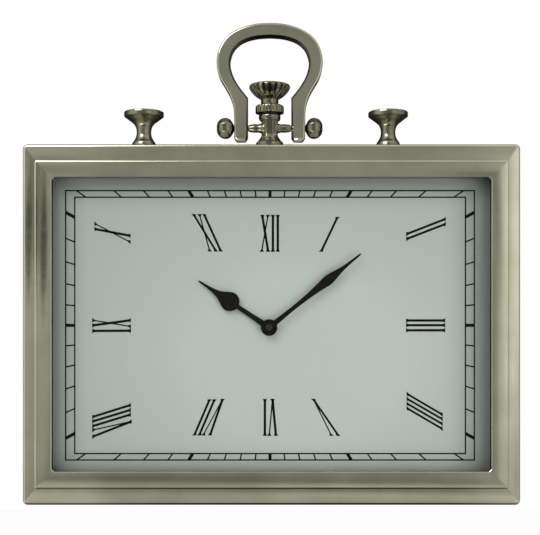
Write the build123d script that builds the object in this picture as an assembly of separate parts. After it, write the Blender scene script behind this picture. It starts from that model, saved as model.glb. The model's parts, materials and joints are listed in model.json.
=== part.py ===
from build123d import *
import math
import os

# Rectangular wall clock in a polished nickel case, with a pocket-watch bow on top and a
# quartz movement behind the dial.
# Millimetres. X runs to the right, Y runs from the front (negative) to the wall (zero) and
# Z runs up. The model is drawn about the middle of the case and exported with its origin
# at the round entry of the keyhole in the hanger, where the wall screw goes in.

# Case
case_width = 400.0
case_height = 290.0
case_depth = 47.0
case_wall = 2.0
case_corner_radius = 4.0
front_edge_radius = 2.4
band_side = 10.0
band_end = 13.4

# Bezel, the raised inner band
bezel_band = 13.8
bezel_step = 3.0
bezel_edge_radius = 1.4
lip_radius = 0.8
opening_corner = 2.2
spigot_wall = 3.0

# Glass, dial and what lies behind them
glass_overlap = 4.0
glass_thickness = 2.0
glass_inset = 2.0
gasket_thickness = 1.0
gasket_width = 3.4
reveal_depth = 11.0
reveal_setback = 0.8
stack_overlap = 10.0
dial_thickness = 1.5
backing_thickness = 4.0
seat_clearance = 0.2

# Clips that hold the dial against the front flange
stud_offset = 14.0
stud_radius = 2.0
clip_reach = 7.0
clip_thickness = 1.2
clip_width = 16.0
nut_height = 2.4
nut_flats = 7.0

# Back board and its screws
board_thickness = 3.0
gusset_leg = 22.0
gusset_thickness = 2.0
board_screw_inset = 8.0
board_screw_radius = 1.5
pan_head_radius = 2.8
pan_head_height = 1.2
access_width = 72.0
access_height = 76.0
access_corner = 5.0

# Wall hanger
hanger_height = 104.0
hanger_width = 62.0
hanger_tall = 28.0
hanger_thickness = 1.5
keyhole_radius = 5.0
keyhole_slot_radius = 2.5
keyhole_drop = 10.0
hanger_screw_spacing = 46.0
hanger_screw_radius = 1.6
countersink_radius = 3.1
screw_clearance = 0.1

# Bow, stem and knobs on the case top
stem_x = -1.5
post_radius = 6.5
post_base_radius = 11.2
post_height = 22.5
arm_radius = 3.9
arm_end_radius = 3.3
pin_radius = 2.0
pin_height = 16.5
pin_clearance = 0.06
stem_screw_radius = 2.4
knob_screw_radius = 2.0
thread_clearance = 0.05
collar_radius = 11.9
collar_height = 13.7
collar_grooves = 24
collar_groove_depth = 0.9
crown_radius = 16.9
crown_neck_radius = 7.2
crown_height = 19.5
crown_flutes = 20
crown_flute_share = 0.10
bow_depth = 11.0
bow_height = 102.5
bow_outer_half_width = 43.4
bow_inner_half_width = 32.2
bow_leg_gap_half = 17.7
bow_leg_outer_half = 29.2
bow_leg_fillet = 18.0
bow_bar = 11.4
bow_leg_bottom = 5.3
bow_edge_chamfer = 1.1
bow_end_chamfer = 3.6
side_clearance = 0.3
ball_radius = 7.9
ball_neck_radius = 3.2
left_knob_x = -105.0
right_knob_x = 96.0
knob_head_radius = 16.4
knob_height = 31.6
knob_neck_radius = 6.4
knob_base_radius = 10.2

# Movement
movement_x = -1.9
movement_z = -2.4
movement_width = 56.0
movement_above = 28.0
movement_below = 30.0
movement_depth = 16.0
movement_wall = 1.2
movement_split = 7.0
rubber_thickness = 0.8
bush_radius = 4.0
bush_length = 5.2
bush_nut_height = 1.2
bush_nut_flats = 11.0
washer_thickness = 0.4
washer_radius = 8.0
hour_tube_radius = 2.5
arbor_radius = 1.5
pivot_radius = 0.6
running_clearance = 0.06
gear_thickness = 1.1
gear_module = 0.4
drive_module = 0.5

# Hands
hour_hand_length = 68.5
minute_hand_length = 95.0
hand_thickness = 0.5
hub_radius = 6.65
hand_nut_radius = 2.7
hour_hand_angle = 146.5
minute_hand_angle = 38.8

# Derived places
band_face_y = -case_depth
flange_back_y = band_face_y + case_wall
bezel_face_y = band_face_y - bezel_step
opening_width = case_width - 2 * (band_side + bezel_band)
opening_height = case_height - 2 * (band_end + bezel_band)
case_top = case_height / 2
row_y = -case_depth / 2
glass_front_y = bezel_face_y + glass_inset
glass_back_y = glass_front_y + glass_thickness
gasket_back_y = glass_back_y + gasket_thickness
dial_face_y = bezel_face_y + reveal_depth
dial_back_y = dial_face_y + dial_thickness
backing_back_y = dial_back_y + backing_thickness
board_back_y = -hanger_thickness
board_front_y = board_back_y - board_thickness
movement_front_y = dial_back_y + rubber_thickness
movement_back_y = movement_front_y + movement_depth
split_y = movement_front_y + movement_split
pin_z = case_top + pin_height
glass_grow = glass_overlap - seat_clearance
spigot_grow = glass_overlap + spigot_wall

os.makedirs("parts", exist_ok=True)


def write(name, shape):
    """Export one piece with the keyhole of the hanger at the origin."""
    moved = Pos(0, 0, -hanger_height) * shape
    moved.label = name
    export_step(moved, f"parts/{name}.step")


def upright(sketch, y_back, y_front):
    """Extrude a sketch, drawn as seen from the front, between two depths."""
    start = max(y_back, y_front)
    placed = Plane.XZ.offset(-start) * sketch
    return extrude(placed, amount=abs(y_back - y_front), dir=(0, -1, 0))


def spun(points, x=0.0, y=0.0, z=0.0):
    """Revolve an outline of (radius, height) points about a vertical axis."""
    profile = Plane.XZ * Polygon(*points, align=None)
    return Pos(x, y, z) * revolve(profile, axis=Axis.Z)


def spun_curve(curves, x=0.0, y=0.0, z=0.0):
    """Revolve a closed outline of curves, drawn as (radius, height), about a vertical axis."""
    profile = Plane.XZ * make_face(curves)
    return Pos(x, y, z) * revolve(profile, axis=Axis.Z)


def arbor_turned(points, x, z):
    """Revolve an outline of (radius, depth) points about an axis that runs front to back."""
    return Pos(x, 0, z) * revolve(Polygon(*points, align=None), axis=Axis.Y)


def rod(radius, y_back, y_front, x=0.0, z=0.0):
    """A round bar that runs front to back."""
    return upright(Pos(x, z) * Circle(radius), y_back, y_front)


def post(radius, z_low, z_high, x=0.0, y=0.0):
    """A round bar that stands upright."""
    return Pos(x, y, (z_low + z_high) / 2) * Cylinder(radius, z_high - z_low)


def opening(grow, corner=0.0):
    """The glass opening as a sketch, grown by the same amount on every side."""
    sketch = Rectangle(opening_width + 2 * grow, opening_height + 2 * grow)
    if corner > 0:
        sketch = chamfer(sketch.vertices(), corner)
    return sketch


def group(solids):
    """Several solids of one kind as one piece."""
    return Part() + solids


def polar(radius, degrees):
    return (radius * math.cos(math.radians(degrees)), radius * math.sin(math.radians(degrees)))


# Case frame
def make_case_frame():
    outer = RectangleRounded(case_width, case_height, case_corner_radius)
    body = upright(outer, 0, band_face_y)
    body = fillet(body.faces().sort_by(Axis.Y)[0].edges(), front_edge_radius)
    inner_corner = case_corner_radius - case_wall
    inside = RectangleRounded(case_width - 2 * case_wall, case_height - 2 * case_wall, inner_corner)
    body -= upright(inside, 1, flange_back_y)
    body -= upright(opening(spigot_grow + seat_clearance), 0, band_face_y - 1)
    for x, z in clip_places():
        body += rod(stud_radius, flange_back_y, stud_end_y, x, z)
    for x_side, z_side in corners():
        body += gusset(x_side, z_side)
    hole_depth = 3 * case_wall
    body -= post(stem_screw_radius + screw_clearance, case_top - hole_depth, case_top + 1, stem_x, row_y)
    for x in (left_knob_x, right_knob_x):
        body -= post(knob_screw_radius + screw_clearance, case_top - hole_depth, case_top + 1, x, row_y)
    return body


def corners():
    return [(-1, -1), (1, -1), (1, 1), (-1, 1)]


def gusset(x_side, z_side):
    """Triangular tab in one corner of the case, with the hole for a back board screw."""
    x = x_side * (case_width / 2 - case_wall)
    z = z_side * (case_height / 2 - case_wall)
    tab = Polygon((x, z), (x - x_side * gusset_leg, z), (x, z - z_side * gusset_leg), align=None)
    overlap = Rectangle(case_wall, case_wall)
    tab = upright(tab, board_front_y, board_front_y - gusset_thickness)
    corner_block = Pos(x, z) * overlap
    tab += upright(corner_block, board_front_y, board_front_y - gusset_thickness)
    hole = rod(board_screw_radius, board_front_y + 1, board_front_y - gusset_thickness - 1,
               *board_screw_place(x_side, z_side))
    return tab - hole


def board_screw_place(x_side, z_side):
    x = x_side * (case_width / 2 - case_wall - board_screw_inset)
    z = z_side * (case_height / 2 - case_wall - board_screw_inset)
    return (x, z)


# Clips on studs behind the front flange
clip_back_y = backing_back_y + clip_thickness
stud_end_y = clip_back_y + nut_height + 1.0
clip_columns = 0.3


def clip_places():
    """Centres of the studs: two behind the top flange and two behind the bottom one."""
    x = clip_columns * opening_width
    z = opening_height / 2 + stud_offset
    return [(-x, z), (x, z), (-x, -z), (x, -z)]


def make_dial_clips():
    clips = []
    for x, z in clip_places():
        turn = 90 if z > 0 else -90
        heel_x = stud_radius + 2.0
        plate = Pos((heel_x - clip_reach) / 2, 0) * Rectangle(heel_x + clip_reach, clip_width)
        heel = Pos(heel_x - clip_thickness / 2, 0) * Rectangle(clip_thickness, clip_width)
        clip = upright(plate, clip_back_y, backing_back_y)
        clip += upright(heel, clip_back_y, flange_back_y)
        clip -= rod(stud_radius + screw_clearance, clip_back_y + 1, flange_back_y - 1)
        clips.append(Pos(x, 0, z) * Rot(0, -turn, 0) * clip)
    return group(clips)


def make_clip_nuts():
    nuts = []
    for x, z in clip_places():
        outline = RegularPolygon(nut_flats / 2, 6, major_radius=False)
        outline -= Circle(stud_radius + thread_clearance)
        nuts.append(upright(Pos(x, z) * outline, clip_back_y + nut_height, clip_back_y))
    return group(nuts)


# Bezel
def make_bezel():
    outer = Rectangle(opening_width + 2 * bezel_band, opening_height + 2 * bezel_band)
    outer = fillet(outer.vertices(), case_corner_radius / 2)
    body = upright(outer, band_face_y, bezel_face_y)
    body = fillet(body.faces().sort_by(Axis.Y)[0].edges(), bezel_edge_radius)
    body += upright(opening(spigot_grow), flange_back_y, band_face_y)
    body -= upright(opening(0, opening_corner), flange_back_y + 1, bezel_face_y - 1)
    lip = body.faces().sort_by(Axis.Y)[0].inner_wires()[0].edges()
    body = fillet(lip, lip_radius)
    body -= upright(opening(glass_overlap), flange_back_y + 1, glass_front_y)
    return body


# Glass, gasket, reveal frame, dial and backing board
def make_glass_pane():
    return upright(opening(glass_grow), glass_back_y, glass_front_y)


def make_glass_gasket():
    ring = opening(glass_grow) - opening(glass_grow - gasket_width)
    return upright(ring, gasket_back_y, glass_back_y)


def make_reveal_frame():
    ring = opening(stack_overlap) - opening(reveal_setback)
    return upright(ring, dial_face_y, gasket_back_y)


def make_dial_plate():
    plate = upright(opening(stack_overlap), dial_back_y, dial_face_y)
    bush_hole = bush_radius + seat_clearance
    return plate - rod(bush_hole, dial_back_y + 1, dial_face_y - 1, movement_x, movement_z)


def movement_window(grow):
    """Outline of the movement's housing, grown by a clearance, as seen from the front."""
    height = movement_above + movement_below
    middle = movement_z + (movement_above - movement_below) / 2
    return Pos(movement_x, middle) * Rectangle(movement_width + 2 * grow, height + 2 * grow)


def make_dial_backing_board():
    board = opening(stack_overlap) - movement_window(2.0)
    return upright(board, backing_back_y, dial_back_y)


# Back board, hanger and their screws
def access_outline():
    middle = movement_z + (movement_above - movement_below) / 2
    return Pos(movement_x, middle) * RectangleRounded(access_width, access_height, access_corner)


def keyhole(grow):
    entry = Pos(0, hanger_height) * Circle(keyhole_radius + grow)
    slot = Pos(0, hanger_height + keyhole_drop) * Circle(keyhole_slot_radius + grow)
    neck_width = 2 * (keyhole_slot_radius + grow)
    neck = Pos(0, hanger_height + keyhole_drop / 2) * Rectangle(neck_width, keyhole_drop)
    return entry + slot + neck


def make_back_board():
    gap = 2 * (case_wall + seat_clearance)
    inner_corner = case_corner_radius - case_wall
    board = RectangleRounded(case_width - gap, case_height - gap, inner_corner)
    board -= access_outline()
    board -= keyhole(keyhole_radius - keyhole_slot_radius)
    for x in (-hanger_screw_spacing / 2, hanger_screw_spacing / 2):
        board -= Pos(x, hanger_middle_z) * Circle(hanger_screw_radius)
    for x_side, z_side in corners():
        board -= Pos(*board_screw_place(x_side, z_side)) * Circle(board_screw_radius + screw_clearance)
    return upright(board, board_back_y, board_front_y)


hanger_middle_z = hanger_height + 3.0


def countersunk(grow, length):
    """Outline of a countersunk screw as (radius, depth), from the wall plane inwards."""
    sink = hanger_thickness
    shank = hanger_screw_radius + grow
    return [(0, 0), (countersink_radius + grow, 0), (shank, -sink), (shank, -length), (0, -length)]


def make_wall_hanger():
    plate = RectangleRounded(hanger_width, hanger_tall, 4.0)
    plate = upright(Pos(0, hanger_middle_z) * plate - keyhole(0), 0, -hanger_thickness)
    for x in (-hanger_screw_spacing / 2, hanger_screw_spacing / 2):
        plate -= arbor_turned(countersunk(thread_clearance, 2 * hanger_thickness), x, hanger_middle_z)
    return plate


def make_hanger_screws():
    length = hanger_thickness + board_thickness + 1.0
    outline = countersunk(-thread_clearance, length)
    places = (-hanger_screw_spacing / 2, hanger_screw_spacing / 2)
    return group([arbor_turned(outline, x, hanger_middle_z) for x in places])


def make_back_board_screws():
    screws = []
    shank = board_screw_radius - thread_clearance
    tip = board_front_y - gusset_thickness - 1.0
    for x_side, z_side in corners():
        x, z = board_screw_place(x_side, z_side)
        head = rod(pan_head_radius, board_back_y + pan_head_height, board_back_y, x, z)
        screws.append(head + rod(shank, board_back_y, tip, x, z))
    return group(screws)


# Stem post with its cross arms, collar and crown
def make_stem_post():
    """Post with a flared base and two cross arms, bored for the pin and for its screw."""
    body = spun([
        (0, 0), (post_base_radius, 0), (post_base_radius, 4.8), (post_radius + 1.6, 8.4),
        (post_radius, 13.5), (post_radius, post_height), (0, post_height),
    ], stem_x, row_y, case_top)
    body += cross_arms()
    body -= rod_x(pin_radius + thread_clearance, 2 * bow_leg_gap_half, stem_x, row_y, pin_z)
    screw_hole = stem_screw_radius + thread_clearance
    return body - post(screw_hole, case_top - 1, case_top + stem_screw_reach + 1, stem_x, row_y)


stem_screw_reach = 10.0
knob_screw_reach = 12.0


def rod_x(radius, length, x, y, z):
    """A round bar that runs from side to side."""
    return Pos(x, y, z) * Rot(0, 90, 0) * Cylinder(radius, length)


def cross_arms():
    """The two lens-shaped arms of the post, turned about the pin's axis."""
    end = bow_leg_gap_half - side_clearance
    waist = post_radius - 1.5
    middle = (waist + end) / 2
    return turned_x([
        (-end, 0), (-end, arm_end_radius), (-middle, arm_radius), (-waist, arm_radius + 0.6),
        (waist, arm_radius + 0.6), (middle, arm_radius), (end, arm_end_radius), (end, 0),
    ], stem_x, row_y, pin_z)


def turned_x(points, x, y, z):
    """Revolve an outline of (distance, radius) points about an axis from side to side."""
    return Pos(x, y, z) * revolve(Polygon(*points, align=None), axis=Axis.X)


def fluted(radius, depth, count):
    """Round outline with V-shaped grooves between narrow lands."""
    step = 360 / count
    points = []
    for index in range(count):
        points.append(polar(radius, (index - 0.2) * step))
        points.append(polar(radius, (index + 0.2) * step))
        points.append(polar(radius - depth, (index + 0.5) * step))
    return Polygon(*points, align=None)


def make_stem_collar():
    """Knurled collar above a tapered ring, clamped between the post and the crown."""
    band_low = 7.0
    band_high = collar_height - 1.2
    ring = spun([
        (0, 0), (8.0, 0), (11.2, 5.6), (10.4, band_low), (10.4, band_high),
        (crown_neck_radius + 1.0, collar_height), (0, collar_height),
    ])
    band = extrude(fluted(collar_radius, collar_groove_depth, collar_grooves), band_high - band_low)
    return Pos(stem_x, row_y, case_top + post_height) * (ring + Pos(0, 0, band_low) * band)


def make_crown():
    """Crown with a short neck, flutes around its bowl and a slightly domed top."""
    bowl = [(3.6, crown_neck_radius + 0.6), (8.2, 13.2), (13.6, crown_radius), (16.0, crown_radius)]
    levels = []
    for height, radius in bowl:
        levels.append(Pos(0, 0, height) * fluted(radius, crown_flute_share * radius, crown_flutes))
    dome_low = bowl[-1][0]
    neck = post(crown_neck_radius, 0, 4.0)
    dome = spun([
        (0, dome_low), (crown_radius - 1.8, dome_low), (crown_radius - 1.8, dome_low + 1.0), (0, crown_height),
    ])
    return Pos(stem_x, row_y, case_top + post_height + collar_height) * (loft(levels, ruled=True) + neck + dome)


# Bow, its pin and the ball ends
def bow_outline(points, bottom, leg_fillet):
    """Closed outline whose right half is a chain of tangent arcs from the top, then a straight leg."""
    tangent = (1, 0)
    right = Curve()
    for start, end in zip(points, points[1:]):
        arc = TangentArc(start, end, tangent=tangent)
        tangent = arc % 1
        right += arc
    leg_x, leg_top = points[-1]
    right += Line((leg_x, leg_top), (leg_x, bottom))
    right += Line((leg_x, bottom), (0, bottom))
    face = make_face(right.edges() + mirror(right, about=Plane.YZ).edges())
    if leg_fillet > 0:
        leg_corners = face.vertices().filter_by(lambda vertex: abs(vertex.Y - leg_top) < 0.01)
        face = fillet(leg_corners, leg_fillet)
    return face


def make_bow_handle():
    """Bow cut from a flat bar, with bevelled edges and legs that straddle the post."""
    top = bow_height
    bottom = bow_leg_bottom
    crest = top - bow_bar
    outer_half = bow_outer_half_width
    inner_half = bow_inner_half_width
    outer = bow_outline([
        (0, top), (0.82 * outer_half, top - 12.6), (outer_half, top - 31.5), (bow_leg_outer_half, top - 67.7),
    ], bottom, bow_leg_fillet)
    inner = bow_outline([
        (0, crest), (0.761 * inner_half, crest - 5.9), (inner_half, crest - 20.8),
        (bow_leg_gap_half, crest - 49.9),
    ], bottom - 1, 0)
    bar = upright(outer - inner, bow_depth / 2, -bow_depth / 2)
    edges = bar.faces().filter_by(Axis.Y).edges()
    bar = chamfer(edges.filter_by(lambda edge: edge.center().Z > bottom + 0.1), bow_edge_chamfer)
    for side in (-1, 1):
        turned = Rot(45, 0, 0) * bevel_bar(bow_end_chamfer, 3 * bow_leg_outer_half)
        bar -= Pos(0, side * bow_depth / 2, bottom) * turned
    bar -= rod_x(pin_radius + pin_clearance, 3 * bow_leg_outer_half, 0, 0, pin_height)
    return Pos(stem_x, row_y, case_top) * bar


def bevel_bar(leg, length):
    """Square bar along X that, turned by 45 degrees, cuts a bevel with legs of this size."""
    return Box(length, leg * math.sqrt(2), leg * math.sqrt(2))


def make_pivot_pin():
    length = 2 * (bow_leg_outer_half + ball_radius)
    return rod_x(pin_radius, length, stem_x, row_y, pin_z)


def make_ball_end(side):
    """Ball with a conical neck that ends just outside the bow's leg."""
    start = bow_leg_outer_half + side_clearance
    centre = start + ball_radius - 0.6
    outline = [(start, 0), (start, ball_neck_radius)]
    for degrees in (130, 90, 55, 25):
        along, out = polar(ball_radius, degrees)
        outline.append((centre + along, out))
    outline.append((centre + ball_radius, 0))
    ball = turned_x(outline, 0, 0, 0)
    socket = bow_leg_outer_half + ball_radius
    ball -= rod_x(pin_radius + thread_clearance, 2 * (socket + thread_clearance), 0, 0, 0)
    if side < 0:
        ball = mirror(ball, about=Plane.YZ)
    return Pos(stem_x, row_y, pin_z) * ball


# Mushroom knobs and their screws
def make_knob(x):
    """Mushroom knob with a foot, a waisted neck and a low dome."""
    head = knob_head_radius
    neck = knob_neck_radius
    base = knob_base_radius
    top = knob_height
    body = spun([
        (0, 0), (base, 0), (base, 5.4), (neck + 0.5, 9.6), (neck + 0.4, 16.0), (neck + 3.2, 20.6),
        (head - 0.8, top - 6.6), (head, top - 3.6), (head - 1.6, top - 1.6), (0, top),
    ], x, row_y, case_top)
    screw_hole = knob_screw_radius + thread_clearance
    return body - post(screw_hole, case_top - 1, case_top + knob_screw_reach + 1, x, row_y)


def case_top_screw(radius, reach, x):
    """Screw from inside the case, with its washer head under the top wall."""
    under = case_top - case_wall
    return spun([
        (0, -3.2), (2.2 * radius, -3.2), (2.2 * radius, -0.8), (3.0 * radius, -0.8), (3.0 * radius, 0),
        (radius, 0), (radius, case_wall + reach), (0, case_wall + reach),
    ], x, row_y, under)


def make_knob_screws():
    places = (left_knob_x, right_knob_x)
    return group([case_top_screw(knob_screw_radius, knob_screw_reach, x) for x in places])


# Gears
tooth_addendum = 0.75
tooth_dedendum = 1.25
tip_share = 0.06


def gear_sketch(teeth, module, phase):
    """Outline of a small moulded gear with straight-sided teeth and V-shaped gaps."""
    pitch_radius = module * teeth / 2
    tip = pitch_radius + tooth_addendum * module
    root = pitch_radius - tooth_dedendum * module
    step = 360 / teeth
    points = []
    for tooth in range(teeth):
        middle = phase + tooth * step
        points.append(polar(tip, middle - tip_share * step))
        points.append(polar(tip, middle + tip_share * step))
        points.append(polar(root, middle + step / 2))
    return Polygon(*points, align=None)


def mesh_phase(driver_phase, driver_teeth, direction, teeth):
    """Phase of a gear that meshes with another whose axis lies against this direction."""
    turned = (driver_phase - direction) * driver_teeth / teeth
    return direction + 180 + 180 / teeth - turned


def gear(place, teeth, module, phase, y_front):
    x, z = place
    sketch = Pos(x, z) * gear_sketch(teeth, module, phase)
    return upright(sketch, y_front + gear_thickness, y_front)


def step_to(place, distance, direction):
    x, z = polar(distance, direction)
    return (place[0] + x, place[1] + z)


def distance_of(module, teeth_a, teeth_b):
    return module * (teeth_a + teeth_b) / 2


# Tooth counts of the motion work and of the going train
minute_pinion_teeth = 10
motion_wheel_teeth = 30
motion_pinion_teeth = 8
hour_wheel_teeth = 32
setting_pinion_teeth = 10
centre_wheel_teeth = 45
third_wheel_teeth = 48
second_wheel_teeth = 36
intermediate_wheel_teeth = 30
train_pinion_teeth = 6

# Directions from one axis to the next, in degrees, as seen from the front
motion_direction = -20.0
setting_direction = -50.0
third_direction = 60.0
second_direction = 150.0
intermediate_direction = 205.0
rotor_direction = 235.0

# Axes of the movement
arbor_axis = (movement_x, movement_z)
motion_distance = distance_of(gear_module, minute_pinion_teeth, motion_wheel_teeth)
motion_axis = step_to(arbor_axis, motion_distance, motion_direction)
setting_distance = distance_of(gear_module, motion_wheel_teeth, setting_pinion_teeth)
setting_axis = step_to(motion_axis, setting_distance, setting_direction)
third_distance = distance_of(drive_module, centre_wheel_teeth, train_pinion_teeth)
third_axis = step_to(arbor_axis, third_distance, third_direction)
second_distance = distance_of(gear_module, third_wheel_teeth, train_pinion_teeth)
second_axis = step_to(third_axis, second_distance, second_direction)
intermediate_distance = distance_of(gear_module, second_wheel_teeth, train_pinion_teeth)
intermediate_axis = step_to(second_axis, intermediate_distance, intermediate_direction)
rotor_distance = distance_of(gear_module, intermediate_wheel_teeth, train_pinion_teeth)
rotor_axis = step_to(intermediate_axis, rotor_distance, rotor_direction)

# Depths of the gear levels, from the dial side to the back
inside_front_y = movement_front_y + movement_wall
inside_back_y = movement_back_y - movement_wall
level_gap = 0.75
level_pitch = gear_thickness + level_gap
hour_level = inside_front_y + 0.5
minute_level = hour_level + level_pitch
centre_level = minute_level + level_pitch
third_level = centre_level + level_pitch
second_level = third_level + level_pitch
intermediate_level = second_level + level_pitch
boss_radius = 1.5
pivot_depth = 0.8
arbor_gap = 0.15
wheel_arbor_radius = 0.8


def train_arbor(place, y_front, y_back):
    """Arbor with a thinner pivot at each end."""
    return arbor_turned([
        (0, y_front), (pivot_radius, y_front), (pivot_radius, y_front + pivot_depth),
        (wheel_arbor_radius, y_front + pivot_depth), (wheel_arbor_radius, y_back - pivot_depth),
        (pivot_radius, y_back - pivot_depth), (pivot_radius, y_back), (0, y_back),
    ], *place)


# First and last depth of each train arbor, pivots included
arbor_spans = {
    "third": (third_axis, centre_level - 1.2, third_level + gear_thickness + 1.2),
    "second": (second_axis, third_level - 1.2, second_level + gear_thickness + 1.2),
    "intermediate": (intermediate_axis, second_level - 1.2, intermediate_level + gear_thickness + 1.2),
    "rotor": (rotor_axis, centre_level - 1.2, intermediate_level + gear_thickness + 1.2),
}

# Hands' levels, counted forward from the dial
hour_hand_y = dial_face_y - 3.4
minute_hand_y = hour_hand_y - 1.5
nut_front_y = minute_hand_y - hand_thickness - 0.9
tube_front_y = hour_hand_y - hand_thickness
arbor_back_y = centre_level + gear_thickness + 1.0
minute_pinion_phase = 0.0
motion_wheel_phase = mesh_phase(minute_pinion_phase, minute_pinion_teeth, motion_direction, motion_wheel_teeth)
setting_phase = mesh_phase(motion_wheel_phase, motion_wheel_teeth, setting_direction, setting_pinion_teeth)
hour_wheel_phase = mesh_phase(0.0, motion_pinion_teeth, motion_direction + 180, hour_wheel_teeth)
third_pinion_phase = mesh_phase(0.0, centre_wheel_teeth, third_direction, train_pinion_teeth)
second_pinion_phase = mesh_phase(0.0, third_wheel_teeth, second_direction, train_pinion_teeth)
intermediate_pinion_phase = mesh_phase(0.0, second_wheel_teeth, intermediate_direction, train_pinion_teeth)
rotor_pinion_phase = mesh_phase(0.0, intermediate_wheel_teeth, rotor_direction, train_pinion_teeth)


def make_minute_arbor():
    """Arbor through the middle, with the pinion that drives the motion work."""
    pivot_back = arbor_back_y + 1.6
    body = arbor_turned([
        (0, nut_front_y + 0.3), (arbor_radius - 0.3, nut_front_y + 0.3),
        (arbor_radius - 0.3, minute_hand_y), (arbor_radius, minute_hand_y), (arbor_radius, arbor_back_y),
        (pivot_radius, arbor_back_y), (pivot_radius, pivot_back), (0, pivot_back),
    ], *arbor_axis)
    pinion = gear(arbor_axis, minute_pinion_teeth, gear_module, minute_pinion_phase, minute_level)
    return body + pinion


def make_motion_wheel():
    wheel = gear(motion_axis, motion_wheel_teeth, gear_module, motion_wheel_phase, minute_level)
    pinion = gear(motion_axis, motion_pinion_teeth, gear_module, 0.0, hour_level)
    hub = rod(wheel_arbor_radius + 0.3, minute_level, hour_level, *motion_axis)
    body = wheel + pinion + hub
    bore = pivot_radius + running_clearance
    return body - rod(bore, movement_back_y, movement_front_y, *motion_axis)


def make_hour_wheel():
    wheel = gear(arbor_axis, hour_wheel_teeth, gear_module, hour_wheel_phase, hour_level)
    tube = rod(hour_tube_radius, hour_level + gear_thickness, tube_front_y, *arbor_axis)
    bore = arbor_radius + running_clearance
    return wheel + tube - rod(bore, 0, nut_front_y, *arbor_axis)


knob_disc_y = movement_back_y + 0.6
knob_disc_depth = 3.4
setting_knob_radius = 6.5


def make_setting_knob():
    """Setting knob at the back, with its shaft and the pinion that turns the motion wheel."""
    pinion = gear(setting_axis, setting_pinion_teeth, gear_module, setting_phase, minute_level)
    shaft = rod(wheel_arbor_radius + 0.2, knob_disc_y, minute_level, *setting_axis)
    disc = Circle(setting_knob_radius)
    notches = 14
    for index in range(notches):
        x, z = polar(setting_knob_radius + 0.3, index * 360 / notches)
        disc -= Pos(x, z) * Rectangle(1.2, 1.2, rotation=index * 360 / notches)
    x, z = setting_axis
    knob = upright(Pos(x, z) * disc, knob_disc_y + knob_disc_depth, knob_disc_y)
    pivot = rod(pivot_radius, minute_level, minute_level - 1.0, *setting_axis)
    return pinion + shaft + knob + pivot


def make_centre_wheel():
    """Wheel that grips the minute arbor through a slipping hub."""
    wheel = gear(arbor_axis, centre_wheel_teeth, drive_module, 0.0, centre_level)
    wheel += rod(arbor_radius + 1.0, centre_level + gear_thickness + 0.5, centre_level, *arbor_axis)
    bore = arbor_radius + running_clearance
    return wheel - rod(bore, arbor_back_y, centre_level - 1, *arbor_axis)


def make_train_wheel(name, teeth, wheel_level, pinion_level, pinion_phase, pinion_module):
    place, y_front, y_back = arbor_spans[name]
    wheel = gear(place, teeth, gear_module, 0.0, wheel_level)
    pinion = gear(place, train_pinion_teeth, pinion_module, pinion_phase, pinion_level)
    return wheel + pinion + train_arbor(place, y_front, y_back)


rotor_magnet_radius = 2.8
rotor_gap = 0.6
magnet_front_y = third_level - 0.6
magnet_back_y = second_level + 0.6


def make_rotor():
    place, y_front, y_back = arbor_spans["rotor"]
    pinion = gear(place, train_pinion_teeth, gear_module, rotor_pinion_phase, intermediate_level)
    magnet = rod(rotor_magnet_radius, magnet_back_y, magnet_front_y, *place)
    return pinion + magnet + train_arbor(place, y_front, y_back)


# Stepping motor's stator and coil
stator_thickness = 0.9
stator_y = (magnet_front_y + magnet_back_y) / 2
coil_radius = 2.9
coil_x = movement_x - movement_width / 2 + movement_wall + coil_radius + 0.4
core_width = 2.2
stator_low_z = movement_z - 9.6
stator_high_z = movement_z + 17.6
stator_end = 3.0


def make_stator():
    """Flat lamination: a limb with the rotor's hole, and a core bar that carries the coil."""
    x, z = rotor_axis
    limb_width = 5.0
    middle_z = (stator_low_z + stator_high_z) / 2
    height = stator_high_z - stator_low_z
    sketch = Pos(x, middle_z) * Rectangle(limb_width, height)
    sketch += Pos(x, z) * Circle(rotor_magnet_radius + rotor_gap + 1.4)
    sketch += Pos(coil_x, middle_z) * Rectangle(core_width, height)
    for end_z in (stator_low_z + stator_end / 2, stator_high_z - stator_end / 2):
        width = x - coil_x + core_width / 2
        sketch += Pos(coil_x - core_width / 2 + width / 2, end_z) * Rectangle(width, stator_end)
    sketch -= Pos(x, z) * Circle(rotor_magnet_radius + rotor_gap)
    return upright(sketch, stator_y + stator_thickness / 2, stator_y - stator_thickness / 2)


def make_coil():
    """Bobbin with two flanges and its winding, around the stator's core bar."""
    low = stator_low_z + stator_end + 0.1
    high = stator_high_z - stator_end - 0.1
    flange = 0.8
    wind = coil_radius - 0.5
    body = spun([
        (0, low), (coil_radius, low), (coil_radius, low + flange), (wind, low + flange),
        (wind, high - flange), (coil_radius, high - flange), (coil_radius, high), (0, high),
    ], coil_x, stator_y, 0)
    slot = Pos(coil_x, stator_y, (low + high) / 2)
    return body - slot * Box(core_width + 0.1, stator_thickness + 0.1, high - low + 2)


# Circuit board, battery and contacts
circuit_x = movement_x + movement_width / 2 - movement_wall - 0.4
circuit_width = 8.6
circuit_low_z = movement_z - 10.0
circuit_height = 30.0
circuit_thickness = 1.0


def make_circuit_board():
    """Board with the chip's blob and the tuning-fork crystal in its can."""
    front = inside_front_y + 0.6
    middle = circuit_x - circuit_width / 2
    middle_z = circuit_low_z + circuit_height / 2
    board = upright(Pos(middle, middle_z) * Rectangle(circuit_width, circuit_height),
                    front + circuit_thickness, front)
    blob = arbor_turned([
        (0, front + circuit_thickness), (2.6, front + circuit_thickness),
        (2.0, front + circuit_thickness + 0.8), (0, front + circuit_thickness + 1.1),
    ], middle, middle_z - 5)
    crystal = Pos(middle, front + circuit_thickness + 0.9, middle_z + 7) * Cylinder(1.0, 6.0)
    return board + blob + crystal


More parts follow.
